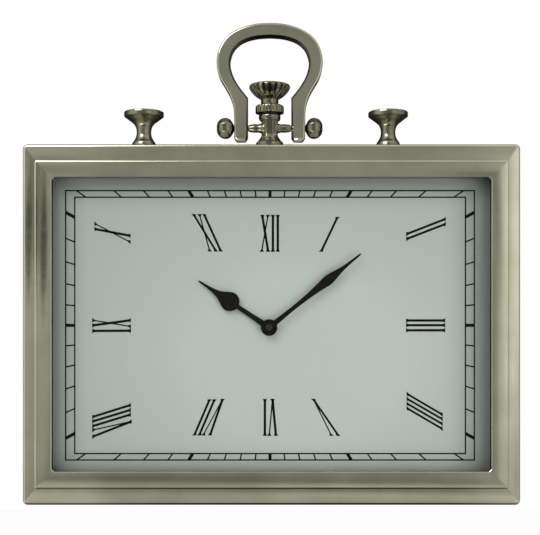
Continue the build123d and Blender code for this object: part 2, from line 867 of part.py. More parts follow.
battery_radius = 7.1
battery_length = 49.2
battery_cap_radius = 2.75
battery_cap_length = 1.3
battery_axis_y = movement_front_y + movement_wall + battery_radius + 0.35
battery_axis_z = movement_z - movement_below + movement_wall + battery_radius + 0.35
battery_x = movement_x
partition_z = battery_axis_z + battery_radius + 0.4


def make_battery():
    half = battery_length / 2
    return turned_x([
        (-half, 0), (-half, battery_radius - 0.4), (-half + 0.4, battery_radius),
        (half - battery_cap_length - 0.6, battery_radius), (half - battery_cap_length, battery_radius - 0.6),
        (half - battery_cap_length, battery_cap_radius), (half, battery_cap_radius), (half, 0),
    ], battery_x, battery_axis_y, battery_axis_z)


contact_thickness = 0.4
contact_height = 11.0
contact_width = 9.0


def make_contact(side):
    """Contact strip at one end of the battery, with a dimple or a spring tongue."""
    wall_x = movement_width / 2 - movement_wall
    gap = wall_x - battery_length / 2
    plate_x = wall_x - contact_thickness / 2 - 0.05
    plate = Pos(plate_x, 0, 0) * Box(contact_thickness, contact_height, contact_width)
    reach = gap - contact_thickness - 0.1
    tongue = turned_x([
        (plate_x - reach, 0), (plate_x - reach, 1.2), (plate_x, 3.0), (plate_x, 0),
    ], 0, 0, 0)
    contact = plate + tongue
    if side < 0:
        contact = mirror(contact, about=Plane.YZ)
    return Pos(battery_x, battery_axis_y, battery_axis_z) * contact


# Movement housing
def shell(y_front, y_back, floor_y_front, floor_y_back):
    """Four walls and a floor of the housing."""
    outer = movement_window(0)
    body = upright(outer, y_back, y_front)
    return body - upright(movement_window(-movement_wall), floor_y_back, floor_y_front)


def boss(place, y_back, y_front):
    return rod(boss_radius, y_back, y_front, *place)


def pivot_hole(place, y_back, y_front):
    return rod(pivot_radius + running_clearance, y_back, y_front, *place)


def make_movement_base():
    """Front shell with the threaded bush, the partition and the front pivot bosses."""
    body = shell(movement_front_y, split_y, inside_front_y, split_y)
    body += partition(split_y, inside_front_y)
    body += rod(bush_radius, movement_front_y, movement_front_y - bush_length, *arbor_axis)
    body += rod(pivot_radius, minute_level + gear_thickness + 0.4, inside_front_y, *motion_axis)
    for place, y_front, y_back in arbor_spans.values():
        body += boss(place, y_front + pivot_depth - arbor_gap, inside_front_y)
        body -= pivot_hole(place, y_front + pivot_depth, y_front - arbor_gap)
    body += boss(setting_axis, minute_level - arbor_gap, inside_front_y)
    body -= pivot_hole(setting_axis, minute_level, minute_level - 1.0 - arbor_gap)
    tube_bore = hour_tube_radius + running_clearance
    return body - rod(tube_bore, split_y, movement_front_y - bush_length - 1, *arbor_axis)


def partition(y_back, y_front):
    """Wall between the gears and the battery bay."""
    width = movement_width - movement_wall
    strip = Pos(movement_x, partition_z + movement_wall / 2) * Rectangle(width, movement_wall)
    return upright(strip, y_back, y_front)


def make_movement_cover():
    """Rear shell with an open battery bay and the rear pivot bosses."""
    body = shell(split_y, movement_back_y, split_y, inside_back_y)
    body += partition(inside_back_y, split_y)
    bay_low = movement_z - movement_below + movement_wall
    bay_height = partition_z - bay_low
    bay_width = movement_width - 2 * movement_wall
    bay = Pos(movement_x, bay_low + bay_height / 2) * Rectangle(bay_width, bay_height)
    body -= upright(bay, movement_back_y + 1, inside_back_y - 1)
    for place, y_front, y_back in arbor_spans.values():
        body += boss(place, inside_back_y, y_back - pivot_depth + arbor_gap)
        body -= pivot_hole(place, y_back + arbor_gap, y_back - pivot_depth)
    body += boss(arbor_axis, inside_back_y, arbor_back_y + arbor_gap)
    body -= pivot_hole(arbor_axis, arbor_back_y + 1.6 + arbor_gap, arbor_back_y)
    shaft_bore = wheel_arbor_radius + 0.2 + running_clearance
    return body - rod(shaft_bore, movement_back_y + 1, inside_back_y - 1, *setting_axis)


# Washers and nut on the bush
def make_rubber_washer():
    ring = Circle(washer_radius) - Circle(bush_radius + seat_clearance)
    return upright(Pos(*arbor_axis) * ring, movement_front_y, dial_back_y)


def make_bush_washer():
    ring = Circle(washer_radius - 1.5) - Circle(bush_radius + seat_clearance)
    return upright(Pos(*arbor_axis) * ring, dial_face_y, dial_face_y - washer_thickness)


def make_bush_nut():
    outline = RegularPolygon(bush_nut_flats / 2, 6, major_radius=False)
    outline -= Circle(bush_radius + thread_clearance)
    seat_y = dial_face_y - washer_thickness
    return upright(Pos(*arbor_axis) * outline, seat_y, seat_y - bush_nut_height)


# Hands
def mirrored_blade(upper):
    """Face from the upper edge of a hand that points along X, mirrored below the axis."""
    edge = Curve() + upper
    return make_face(edge.edges() + mirror(edge, about=Plane.XZ).edges())


def hand(blade, hub_bore, degrees, y_back):
    sketch = blade + Circle(hub_radius)
    sketch -= Circle(hub_bore)
    sketch = Pos(*arbor_axis) * Rot(0, 0, degrees) * sketch
    return upright(sketch, y_back, y_back - hand_thickness)


def make_hour_hand():
    """Spade hand: a straight stem, round lobes and a hollow taper to the tip."""
    length = hour_hand_length
    stem_end = 0.436 * length
    lobe = 6.7
    blade = mirrored_blade([
        Line((0, 0), (0, 2.0)),
        Line((0, 2.0), (stem_end, 1.25)),
        ThreePointArc((stem_end, 1.25), (stem_end + 1.1, 5.4), (stem_end + 5.0, lobe)),
        ThreePointArc((stem_end + 5.0, lobe), (stem_end + 10.5, 5.3), (stem_end + 17.0, 3.0)),
        ThreePointArc((stem_end + 17.0, 3.0), (stem_end + 24.5, 1.35), (length - 4.0, 0.8)),
        Line((length - 4.0, 0.8), (length, 0.7)),
        Line((length, 0.7), (length, 0)),
    ])
    return hand(blade, hour_tube_radius + thread_clearance, hour_hand_angle, hour_hand_y)


def make_minute_hand():
    """Slim hand that widens to a leaf at about two thirds of its length."""
    length = minute_hand_length
    widest = 0.63 * length
    blade = mirrored_blade([
        Line((0, 0), (0, 2.6)),
        Line((0, 2.6), (0.20 * length, 1.7)),
        Line((0.20 * length, 1.7), (0.36 * length, 1.5)),
        ThreePointArc((0.36 * length, 1.5), (0.5 * length, 2.2), (widest - 1.5, 3.3)),
        ThreePointArc((widest - 1.5, 3.3), (widest, 3.4), (widest + 1.5, 3.2)),
        ThreePointArc((widest + 1.5, 3.2), (0.76 * length, 1.6), (0.86 * length, 1.0)),
        Line((0.86 * length, 1.0), (length, 0.6)),
        Line((length, 0.6), (length, 0)),
    ])
    return hand(blade, arbor_radius - 0.3 + thread_clearance, minute_hand_angle, minute_hand_y)


def make_hand_nut():
    seat = minute_hand_y - hand_thickness
    bore = arbor_radius - 0.3 + thread_clearance
    cap = arbor_turned([
        (0, nut_front_y - 0.2), (hand_nut_radius - 0.6, nut_front_y), (hand_nut_radius, nut_front_y + 0.5),
        (hand_nut_radius, seat), (0, seat),
    ], *arbor_axis)
    return cap - rod(bore, seat, nut_front_y + 0.25, *arbor_axis)


pieces = {
    "case_frame": make_case_frame,
    "bezel": make_bezel,
    "glass_pane": make_glass_pane,
    "glass_gasket": make_glass_gasket,
    "reveal_frame": make_reveal_frame,
    "dial_plate": make_dial_plate,
    "dial_backing_board": make_dial_backing_board,
    "dial_clips": make_dial_clips,
    "clip_nuts": make_clip_nuts,
    "back_board": make_back_board,
    "back_board_screws": make_back_board_screws,
    "wall_hanger": make_wall_hanger,
    "hanger_screws": make_hanger_screws,
    "stem_post": make_stem_post,
    "stem_collar": make_stem_collar,
    "crown": make_crown,
    "bow_handle": make_bow_handle,
    "pivot_pin": make_pivot_pin,
    "left_ball_end": lambda: make_ball_end(-1),
    "right_ball_end": lambda: make_ball_end(1),
    "stem_screw": lambda: case_top_screw(stem_screw_radius, stem_screw_reach, stem_x),
    "left_knob": lambda: make_knob(left_knob_x),
    "right_knob": lambda: make_knob(right_knob_x),
    "knob_screws": make_knob_screws,
    "movement_base": make_movement_base,
    "movement_cover": make_movement_cover,
    "rubber_washer": make_rubber_washer,
    "bush_washer": make_bush_washer,
    "bush_nut": make_bush_nut,
    "minute_arbor": make_minute_arbor,
    "motion_wheel": make_motion_wheel,
    "hour_wheel": make_hour_wheel,
    "setting_knob": make_setting_knob,
    "centre_wheel": make_centre_wheel,
    "third_wheel": lambda: make_train_wheel(
        "third", third_wheel_teeth, third_level, centre_level, third_pinion_phase, drive_module),
    "second_wheel": lambda: make_train_wheel(
        "second", second_wheel_teeth, second_level, third_level, second_pinion_phase, gear_module),
    "intermediate_wheel": lambda: make_train_wheel(
        "intermediate", intermediate_wheel_teeth, intermediate_level, second_level,
        intermediate_pinion_phase, gear_module),
    "rotor": make_rotor,
    "stator": make_stator,
    "coil": make_coil,
    "circuit_board": make_circuit_board,
    "battery": make_battery,
    "positive_contact": lambda: make_contact(1),
    "negative_contact": lambda: make_contact(-1),
    "hour_hand": make_hour_hand,
    "minute_hand": make_minute_hand,
    "hand_nut": make_hand_nut,
}

for piece_name, make_piece in pieces.items():
    write(piece_name, make_piece())
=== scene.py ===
import json
import math

import bmesh
import bpy
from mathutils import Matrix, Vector


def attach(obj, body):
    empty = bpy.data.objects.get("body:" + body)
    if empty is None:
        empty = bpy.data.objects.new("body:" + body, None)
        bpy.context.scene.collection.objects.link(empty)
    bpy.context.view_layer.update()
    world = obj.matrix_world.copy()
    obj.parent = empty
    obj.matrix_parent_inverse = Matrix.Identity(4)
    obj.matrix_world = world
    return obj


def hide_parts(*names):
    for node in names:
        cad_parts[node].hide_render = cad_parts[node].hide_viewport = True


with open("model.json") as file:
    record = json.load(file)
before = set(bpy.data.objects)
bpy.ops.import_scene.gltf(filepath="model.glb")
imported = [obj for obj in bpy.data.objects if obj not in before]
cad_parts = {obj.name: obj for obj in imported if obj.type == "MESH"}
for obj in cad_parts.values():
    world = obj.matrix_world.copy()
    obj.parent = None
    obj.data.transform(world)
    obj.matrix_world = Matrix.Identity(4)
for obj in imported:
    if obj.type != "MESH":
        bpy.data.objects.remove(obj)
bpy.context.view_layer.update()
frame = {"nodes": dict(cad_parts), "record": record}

# Places and sizes in millimetres, in the frame's axes
MM = 0.001
CASE_MIDDLE_Z = -104.0
CASE_HALF_WIDTH = 200.0
CASE_HALF_HEIGHT = 145.0
CASE_TOP_Z = CASE_MIDDLE_Z + CASE_HALF_HEIGHT
CASE_CORNER = 4.0
FLANGE_HALF = (183.4, 125.0)
FLANGE_BACK_Y = -45.0
BAND_Y = -47.3
BEZEL_HALF = (190.0, 131.6)
OPENING_HALF = (176.2, 117.8)
OPENING_CORNER = 2.2
LIP_BACK_Y = -48.0
SHARP_CORNER = 0.02
ROW_Y = -23.5
STEM_X = -1.5
HINGE_Z = CASE_TOP_Z + 16.5
POST_HEIGHT = 22.5
CROWN_Z = CASE_TOP_Z + 36.2
LEFT_KNOB_X = -105.0
RIGHT_KNOB_X = 96.0
ARBOR_X = -1.9
ARBOR_Z = CASE_MIDDLE_Z - 2.4
DIAL_FACE_Y = -39.0

# Bodies and slots of the record that the pieces below ride on and use
CASE = "clock_case"
NICKEL_SLOT = "polished_nickel"
BLACK_SLOT = "hand_black"


# Materials
def new_material(name):
    material = bpy.data.materials.new(name)
    material.use_nodes = True
    nodes = material.node_tree.nodes
    nodes.clear()
    output = nodes.new("ShaderNodeOutputMaterial")
    shader = nodes.new("ShaderNodeBsdfPrincipled")
    material.node_tree.links.new(shader.outputs[0], output.inputs[0])
    return material, nodes, material.node_tree.links, shader


def object_noise(nodes, links, scale, detail=4.0, stretch=(1, 1, 1)):
    """Noise in the object's own coordinates, stretched along some axes."""
    coordinates = nodes.new("ShaderNodeTexCoord")
    mapping = nodes.new("ShaderNodeMapping")
    mapping.inputs["Scale"].default_value = stretch
    noise = nodes.new("ShaderNodeTexNoise")
    noise.inputs["Scale"].default_value = scale
    noise.inputs["Detail"].default_value = detail
    links.new(coordinates.outputs["Object"], mapping.inputs["Vector"])
    links.new(mapping.outputs[0], noise.inputs["Vector"])
    return noise.outputs["Fac"]


def ramp_between(nodes, links, fac, low, high, start=0.3, end=0.7):
    ramp = nodes.new("ShaderNodeValToRGB")
    ramp.color_ramp.elements[0].position = start
    ramp.color_ramp.elements[1].position = end
    ramp.color_ramp.elements[0].color = (*low, 1)
    ramp.color_ramp.elements[1].color = (*high, 1)
    links.new(fac, ramp.inputs[0])
    return ramp.outputs[0]


def range_between(nodes, links, fac, low, high):
    mapped = nodes.new("ShaderNodeMapRange")
    mapped.inputs["From Min"].default_value = 0.3
    mapped.inputs["From Max"].default_value = 0.7
    mapped.inputs["To Min"].default_value = low
    mapped.inputs["To Max"].default_value = high
    links.new(fac, mapped.inputs[0])
    return mapped.outputs[0]


def bump_from(nodes, links, height, strength, distance, before=None):
    bump = nodes.new("ShaderNodeBump")
    bump.inputs["Strength"].default_value = strength
    bump.inputs["Distance"].default_value = distance
    links.new(height, bump.inputs["Height"])
    if before is not None:
        links.new(before, bump.inputs["Normal"])
    return bump.outputs[0]


def blended(nodes, links, mode, first, second, factor=1.0):
    """Two colours put together by one of the blend modes."""
    mix = nodes.new("ShaderNodeMix")
    mix.data_type = "RGBA"
    mix.blend_type = mode
    mix.inputs["Factor"].default_value = factor
    links.new(first, mix.inputs["A"])
    links.new(second, mix.inputs["B"])
    return mix.outputs["Result"]


def plain_surface(name, low, high, roughness, scale, grain, grain_scale,
                  metallic=0.0, stretch=(1, 1, 1), specular=0.5):
    """Surface with a mottled colour, uneven gloss and a fine grain."""
    material, nodes, links, shader = new_material(name)
    mottle = object_noise(nodes, links, scale, 5.0, stretch)
    links.new(ramp_between(nodes, links, mottle, low, high), shader.inputs["Base Color"])
    links.new(range_between(nodes, links, mottle, *roughness), shader.inputs["Roughness"])
    fine = object_noise(nodes, links, grain_scale, 3.0, stretch)
    links.new(bump_from(nodes, links, fine, grain, 0.0002), shader.inputs["Normal"])
    shader.inputs["Metallic"].default_value = metallic
    shader.inputs["Specular IOR Level"].default_value = specular
    return material


# Painted shade: the colour laid into the nickel's hollows and creases, weighted by ambient
# occlusion
HOLLOW_SHADE = (0.05, 0.047, 0.037, 1)


def nickel_surface(name, low, high, roughness, wave=(0.25, 16.0, 0.0006), shade_reach=0.0025, polish=1.0):
    """Hand-polished nickel: clouded colour, painted shade in hollows, uneven gloss and a slightly
    wavy face.

    wave is strength, scale and depth; shade_reach is how far the ambient occlusion reaches for the
    hollows that get painted shade; polish is the share of the clean colour on open faces.
    """
    material, nodes, links, shader = new_material(name)
    cloud = object_noise(nodes, links, 22.0, 6.0)
    # Painted shade: ambient occlusion darkens the base colour in hollows and creases
    hollow = nodes.new("ShaderNodeAmbientOcclusion")
    hollow.samples = 8
    hollow.inputs["Distance"].default_value = shade_reach
    darkened = nodes.new("ShaderNodeMix")
    darkened.data_type = "RGBA"
    openness = range_between(nodes, links, hollow.outputs["AO"], polish - 1, polish)
    links.new(openness, darkened.inputs["Factor"])
    darkened.inputs["A"].default_value = HOLLOW_SHADE
    links.new(ramp_between(nodes, links, cloud, low, high), darkened.inputs["B"])
    links.new(darkened.outputs["Result"], shader.inputs["Base Color"])
    haze = object_noise(nodes, links, 60.0, 8.0, (1, 1, 2.2))
    links.new(range_between(nodes, links, haze, *roughness), shader.inputs["Roughness"])
    strength, scale, depth = wave
    waves = object_noise(nodes, links, scale, 1.5, (1.0, 1.0, 1.6))
    wavy = bump_from(nodes, links, waves, strength, depth)
    scuffs = object_noise(nodes, links, 900.0, 4.0, (0.25, 1, 1))
    links.new(bump_from(nodes, links, scuffs, 0.03, 0.00005, wavy), shader.inputs["Normal"])
    shader.inputs["Metallic"].default_value = 1.0
    return material


nickel = nickel_surface("polished_nickel", (0.68, 0.67, 0.56), (0.86, 0.85, 0.74), (0.05, 0.12))
small_nickel = nickel_surface(
    "small_nickel", (0.34, 0.33, 0.265), (0.58, 0.565, 0.47), (0.10, 0.20),
    wave=(0.12, 60.0, 0.0003), shade_reach=0.006, polish=0.66)
bow_nickel = nickel_surface(
    "bow_nickel", (0.60, 0.59, 0.49), (0.80, 0.79, 0.68), (0.07, 0.14),
    wave=(0.15, 24.0, 0.0005), polish=0.98)

# Painted shade of the recess on the dial near its edges: axis, from, to, tone at from, tone at to
DIAL_EDGE_SHADE = [
    ("X", 0.138, 0.178, 1.0, 0.48),
    ("X", -0.178, -0.146, 0.66, 1.0),
    ("Z", -0.014, 0.014, 1.0, 0.70),
    ("Z", -0.222, -0.200, 0.80, 1.0),
]
# Shaded and lit tones of the dial paint, for its painted light and shade
DIAL_SHADED_TONE = (0.36, 0.415, 0.38)
DIAL_LIT_TONE = (0.475, 0.53, 0.487)


def dial_surface():
    """Satin dial paint with painted light: a lit middle, and painted shade towards the edges of the
    plate.
    """
    material, nodes, links, shader = new_material("dial_paint")
    coordinates = nodes.new("ShaderNodeTexCoord")
    # Painted light: a lit pool a little right of and below the dial's middle, darker outwards
    mapping = nodes.new("ShaderNodeMapping")
    mapping.inputs["Location"].default_value = (-0.07, 0, 0.60)
    mapping.inputs["Scale"].default_value = (3.4, 0, 4.5)
    links.new(coordinates.outputs["Object"], mapping.inputs["Vector"])
    sphere = nodes.new("ShaderNodeTexGradient")
    sphere.gradient_type = "QUADRATIC_SPHERE"
    links.new(mapping.outputs[0], sphere.inputs["Vector"])
    tone = ramp_between(nodes, links, sphere.outputs["Fac"], DIAL_SHADED_TONE, DIAL_LIT_TONE, 0.0, 0.5)
    parts = nodes.new("ShaderNodeSeparateXYZ")
    links.new(coordinates.outputs["Object"], parts.inputs[0])
    # Painted shade: each band darkens the tone towards one edge of the plate
    for axis, low, high, start, darkest in DIAL_EDGE_SHADE:
        band = nodes.new("ShaderNodeMapRange")
        band.interpolation_type = "SMOOTHSTEP"
        band.inputs["From Min"].default_value = low
        band.inputs["From Max"].default_value = high
        band.inputs["To Min"].default_value = start
        band.inputs["To Max"].default_value = darkest
        links.new(parts.outputs[axis], band.inputs["Value"])
        tone = blended(nodes, links, "MULTIPLY", tone, band.outputs[0])
    speck = object_noise(nodes, links, 260.0, 4.0)
    spots = ramp_between(nodes, links, speck, (0.86, 0.86, 0.84), (1, 1, 1))
    links.new(blended(nodes, links, "MULTIPLY", tone, spots, 0.10), shader.inputs["Base Color"])
    links.new(range_between(nodes, links, speck, 0.42, 0.52), shader.inputs["Roughness"])
    grain = object_noise(nodes, links, 1800.0, 2.0)
    links.new(bump_from(nodes, links, grain, 0.06, 0.00005), shader.inputs["Normal"])
    return material


def glass_surface():
    """Thin clear pane with faint smears, nearly all of it see-through."""
    material, nodes, links, shader = new_material("clear_glass")
    smear = object_noise(nodes, links, 9.0, 6.0, (1, 1, 2.5))
    tint = ramp_between(nodes, links, smear, (0.90, 0.94, 0.90), (1, 1, 1))
    links.new(tint, shader.inputs["Base Color"])
    links.new(range_between(nodes, links, smear, 0.01, 0.03), shader.inputs["Roughness"])
    shader.inputs["Transmission Weight"].default_value = 1.0
    shader.inputs["Alpha"].default_value = 0.03
    return material


# Slot: darker colour, lighter colour, roughness, mottle scale, grain, grain scale
PLAIN_SURFACES = {
    "black_rubber": ((0.012, 0.012, 0.012), (0.03, 0.03, 0.03), (0.6, 0.8), 120, 0.2, 900),
    "reveal_black": ((0.006, 0.006, 0.006), (0.014, 0.014, 0.013), (0.5, 0.65), 80, 0.15, 1500),
    "hardboard": ((0.10, 0.065, 0.04), (0.17, 0.11, 0.07), (0.6, 0.8), 140, 0.4, 700),
    "back_hardboard": ((0.014, 0.012, 0.010), (0.035, 0.030, 0.026), (0.5, 0.75), 90, 0.5, 900),
    "black_plastic": ((0.014, 0.014, 0.015), (0.03, 0.03, 0.03), (0.4, 0.55), 150, 0.25, 2600),
    "cover_plastic": ((0.02, 0.02, 0.022), (0.04, 0.04, 0.042), (0.4, 0.55), 150, 0.25, 2600),
    "gear_plastic": ((0.70, 0.69, 0.64), (0.80, 0.79, 0.75), (0.4, 0.5), 300, 0.1, 2600),
    "knob_plastic": ((0.03, 0.03, 0.03), (0.055, 0.055, 0.055), (0.35, 0.5), 200, 0.2, 2600),
    "circuit_green": ((0.02, 0.13, 0.05), (0.05, 0.22, 0.09), (0.3, 0.45), 300, 0.15, 2000),
    "battery_sleeve": ((0.05, 0.06, 0.09), (0.08, 0.09, 0.13), (0.2, 0.3), 100, 0.08, 1500),
}
METAL_SURFACES = {
    "zinc_steel": ((0.42, 0.43, 0.42), (0.62, 0.63, 0.62), (0.25, 0.42), 300, 0.1, 1600),
    "brass_parts": ((0.60, 0.42, 0.17), (0.80, 0.60, 0.28), (0.2, 0.35), 400, 0.1, 2000),
    "spring_contact": ((0.60, 0.58, 0.52), (0.76, 0.74, 0.68), (0.2, 0.35), 300, 0.1, 2000),
}

SURFACES = {name: plain_surface(name, *row) for name, row in PLAIN_SURFACES.items()}
for surface_name, row in METAL_SURFACES.items():
    SURFACES[surface_name] = plain_surface(surface_name, *row, metallic=1.0)
SURFACES[NICKEL_SLOT] = nickel
SURFACES["clear_glass"] = glass_surface()
SURFACES["dial_paint"] = dial_surface()
SURFACES["coil_winding"] = plain_surface(
    "coil_winding", (0.38, 0.12, 0.04), (0.62, 0.24, 0.09), (0.3, 0.45), 60, 0.6, 2400,
    stretch=(1, 1, 12))
SURFACES[BLACK_SLOT] = plain_surface(
    "hand_black", (0.004, 0.004, 0.004), (0.011, 0.011, 0.011), (0.45, 0.6), 300, 0.15, 2500,
    specular=0.08)
print_black = plain_surface(
    "print_black", (0.003, 0.004, 0.003), (0.010, 0.011, 0.009), (0.5, 0.65), 900, 0.1, 3000,
    specular=0.04)
nut_black = plain_surface(
    "nut_black", (0.010, 0.011, 0.010), (0.022, 0.024, 0.022), (0.22, 0.32), 300, 0.1, 2500)

slot_of_node = {row["node"]: row["material_slot"] for row in frame["record"]["subparts"]}
for node_name, node in frame["nodes"].items():
    surface = nut_black if node_name == "hand_nut" else SURFACES[slot_of_node[node_name]]
    for material_slot in node.material_slots:
        material_slot.material = surface


# Mesh helpers, in millimetres
def add_piece(name, shape, material, body, node=None, smooth=True, sharp=35.0):
    """Piece made of a shape's points and faces; node is the CAD node that it stands for."""
    points, faces = shape
    mesh = bpy.data.meshes.new(name)
    mesh.from_pydata([tuple(c * MM for c in point) for point in points], [], faces)
    solid = bmesh.new()
    solid.from_mesh(mesh)
    bmesh.ops.remove_doubles(solid, verts=solid.verts, dist=1e-7)
    bmesh.ops.recalc_face_normals(solid, faces=solid.faces)
    solid.to_mesh(mesh)
    solid.free()
    for polygon in mesh.polygons:
        polygon.use_smooth = smooth
    mesh.set_sharp_from_angle(angle=math.radians(sharp))
    mesh.materials.append(material)
    piece = bpy.data.objects.new(name, mesh)
    bpy.context.scene.collection.objects.link(piece)
    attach(piece, body)
    if node is not None:
        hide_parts(node)
    return piece


def skin(rings, closed=False):
    """Faces between rings that all have the same number of points."""
    points = [point for ring in rings for point in ring]
    count = len(rings[0])
    faces = []
    spans = len(rings) if closed else len(rings) - 1
    for level in range(spans):
        low = level * count
        high = ((level + 1) % len(rings)) * count
        for index in range(count):
            after = (index + 1) % count
            faces.append((low + index, low + after, high + after, high + index))
    return points, faces


def capped(rings):
    """Skin over the rings, closed at both ends."""
    points, faces = skin(rings)
    count = len(rings[0])
    faces.append(tuple(range(count)))
    faces.append(tuple(range(len(points) - count, len(points))))
    return points, faces


def arc(centre, radius, start, end, steps):
    """Points of an arc in a profile, angles in degrees."""
    points = []
    for step in range(steps + 1):
        angle = math.radians(start + (end - start) * step / steps)
        points.append((centre[0] + radius * math.cos(angle), centre[1] + radius * math.sin(angle)))
    return points


def smooth_profile(points, steps=6):
    """Catmull-Rom curve through the points of a profile."""
    ends = [points[0]] + points + [points[-1]]
    curve = []
    for a, b, c, d in zip(ends, ends[1:], ends[2:], ends[3:]):
        for step in range(steps):
            t = step / steps
            curve.append(tuple(
                0.5 * (2 * b[k] + (c[k] - a[k]) * t
                       + (2 * a[k] - 5 * b[k] + 4 * c[k] - d[k]) * t * t
                       + (3 * b[k] - a[k] - 3 * c[k] + d[k]) * t ** 3)
                for k in range(2)))
    curve.append(points[-1])
    return curve


# Radius that stands for zero, so that every ring keeps its points until doubles are merged
TIP_RADIUS = 0.01


def lathe(profile, base, count=96, shape=None):
    """Rings about an upright axis; shape(angle, radius, height) may vary the radius."""
    x, y, z = base
    rings = []
    for radius, height in profile:
        ring = []
        for index in range(count):
            angle = 2 * math.pi * index / count
            r = max(radius, TIP_RADIUS)
            if shape is not None:
                r = shape(angle, r, height)
            ring.append((x + r * math.cos(angle), y + r * math.sin(angle), z + height))
        rings.append(ring)
    return capped(rings)


def flattened(angle, radius, flats=8, apothem=0.935):
    """Radius of a round bar with soft flats, one of them facing the front."""
    pitch = 2 * math.pi / flats
    away = (angle + math.pi / 2 + pitch / 2) % pitch - pitch / 2
    return min(radius, apothem * radius / math.cos(away))


def turned_sideways(profile, side=1, count=64, flats=False):
    """Rings about the bow's hinge axis, from (distance, radius) points."""
    rings = []
    for distance, radius in profile:
        ring = []
        for index in range(count):
            angle = 2 * math.pi * index / count
            r = max(radius, TIP_RADIUS)
            if flats:
                r = flattened(angle, r)
            y, z = ROW_Y + r * math.cos(angle), HINGE_Z + r * math.sin(angle)
            ring.append((STEM_X + side * distance, y, z))
        rings.append(ring)
    return capped(rings)


CORNER_STEPS = 10


def frame_ring(half_width, half_height, corner, y, bevel=False):
    """Rectangle with rounded or bevelled corners, as seen from the front, at one depth."""
    ring = []
    for x_side, z_side, start in ((1, 1, 0), (-1, 1, 90), (-1, -1, 180), (1, -1, 270)):
        cx = x_side * (half_width - corner)
        cz = z_side * (half_height - corner)
        ends = [(cx + corner * math.cos(math.radians(a)), cz + corner * math.sin(math.radians(a)))
                for a in (start, start + 90)]
        for step in range(CORNER_STEPS + 1):
            t = step / CORNER_STEPS
            if bevel:
                x = ends[0][0] + (ends[1][0] - ends[0][0]) * t
                z = ends[0][1] + (ends[1][1] - ends[0][1]) * t
            else:
                angle = math.radians(start + 90 * t)
                x = cx + corner * math.cos(angle)
                z = cz + corner * math.sin(angle)
            ring.append((x, y, CASE_MIDDLE_Z + z))
    return ring


def join_parts(parts):
    """One list of points and faces from several."""
    points = []
    faces = []
    for part_points, part_faces in parts:
        start = len(points)
        points.extend(part_points)
        faces.extend(tuple(index + start for index in face) for face in part_faces)
    return points, faces


# Case frame and bezel
def build_case():
    """Case shell: sides, rounded front edge, an outer band that leans forward, and the flange."""
    width, height = CASE_HALF_WIDTH, CASE_HALF_HEIGHT
    rings = [frame_ring(width - 2, height - 2, 2.0, 0.0),
             frame_ring(width - 0.25, height - 0.25, CASE_CORNER - 0.25, 0.0),
             frame_ring(width, height, CASE_CORNER, -0.25)]
    for inward, forward in arc((2.2, -44.7), 2.2, 180, 267, 8):
        corner = max(CASE_CORNER - inward, 1.6)
        rings.append(frame_ring(width - inward, height - inward, corner, forward))
    rings.append(frame_ring(*BEZEL_HALF, SHARP_CORNER, BAND_Y))
    rings.append(frame_ring(*FLANGE_HALF, SHARP_CORNER, BAND_Y))
    rings.append(frame_ring(*FLANGE_HALF, SHARP_CORNER, FLANGE_BACK_Y))
    rings.append(frame_ring(width - 2, height - 2, 2.0, FLANGE_BACK_Y))
    add_piece("case_shell", skin(rings, True), nickel, CASE, "case_frame")


def build_bezel():
    """Raised band with a rounded outer edge, a lip round the opening and a spigot behind."""
    width, height = BEZEL_HALF
    open_width, open_height = OPENING_HALF
    rings = [frame_ring(width, height, 2.0, BAND_Y)]
    for inward, forward in arc((1.4, -48.6), 1.4, 180, 270, 6):
        corner = max(2.0 - inward, 0.8)
        rings.append(frame_ring(width - inward, height - inward, corner, forward))
    for outward, forward in arc((0.8, -49.2), 0.8, 270, 180, 5) + [(0.0, LIP_BACK_Y)]:
        rings.append(frame_ring(open_width + outward, open_height + outward,
                                OPENING_CORNER, forward, True))
    for outward, y in ((4, LIP_BACK_Y), (4, FLANGE_BACK_Y), (7, FLANGE_BACK_Y), (7, -47.0)):
        rings.append(frame_ring(open_width + outward, open_height + outward, SHARP_CORNER, y))
    add_piece("bezel_band", skin(rings, True), nickel, CASE, "bezel")


# Pieces on the case top: profiles are (radius, height) points
KNOB_FOOT = [(0, 0), (9.7, 0), (9.9, 0.3)]
KNOB_NECK = [
    (9.9, 2.0), (9.4, 4.4), (7.7, 7.0), (6.3, 10.1), (6.0, 13.8), (6.6, 17.0), (7.8, 19.3),
    (10.0, 21.4), (12.4, 23.2), (14.3, 24.7), (15.7, 25.7),
]
KNOB_HEAD = [
    (16.15, 26.2), (16.3, 26.8), (16.3, 28.9), (16.0, 29.7), (15.2, 30.1), (12.0, 30.5),
    (8.0, 30.8), (4.0, 30.95), (0, 31.0),
]
POST_FOOT = [(0, 0), (11.0, 0), (11.2, 0.2), (11.2, 4.4), (10.8, 4.9)]
POST_COLUMN = [
    (10.2, 5.2), (8.6, 7.4), (7.4, 9.8), (6.9, 12.4), (6.8, 16.0), (7.1, 19.5), (7.3, 22.5),
]
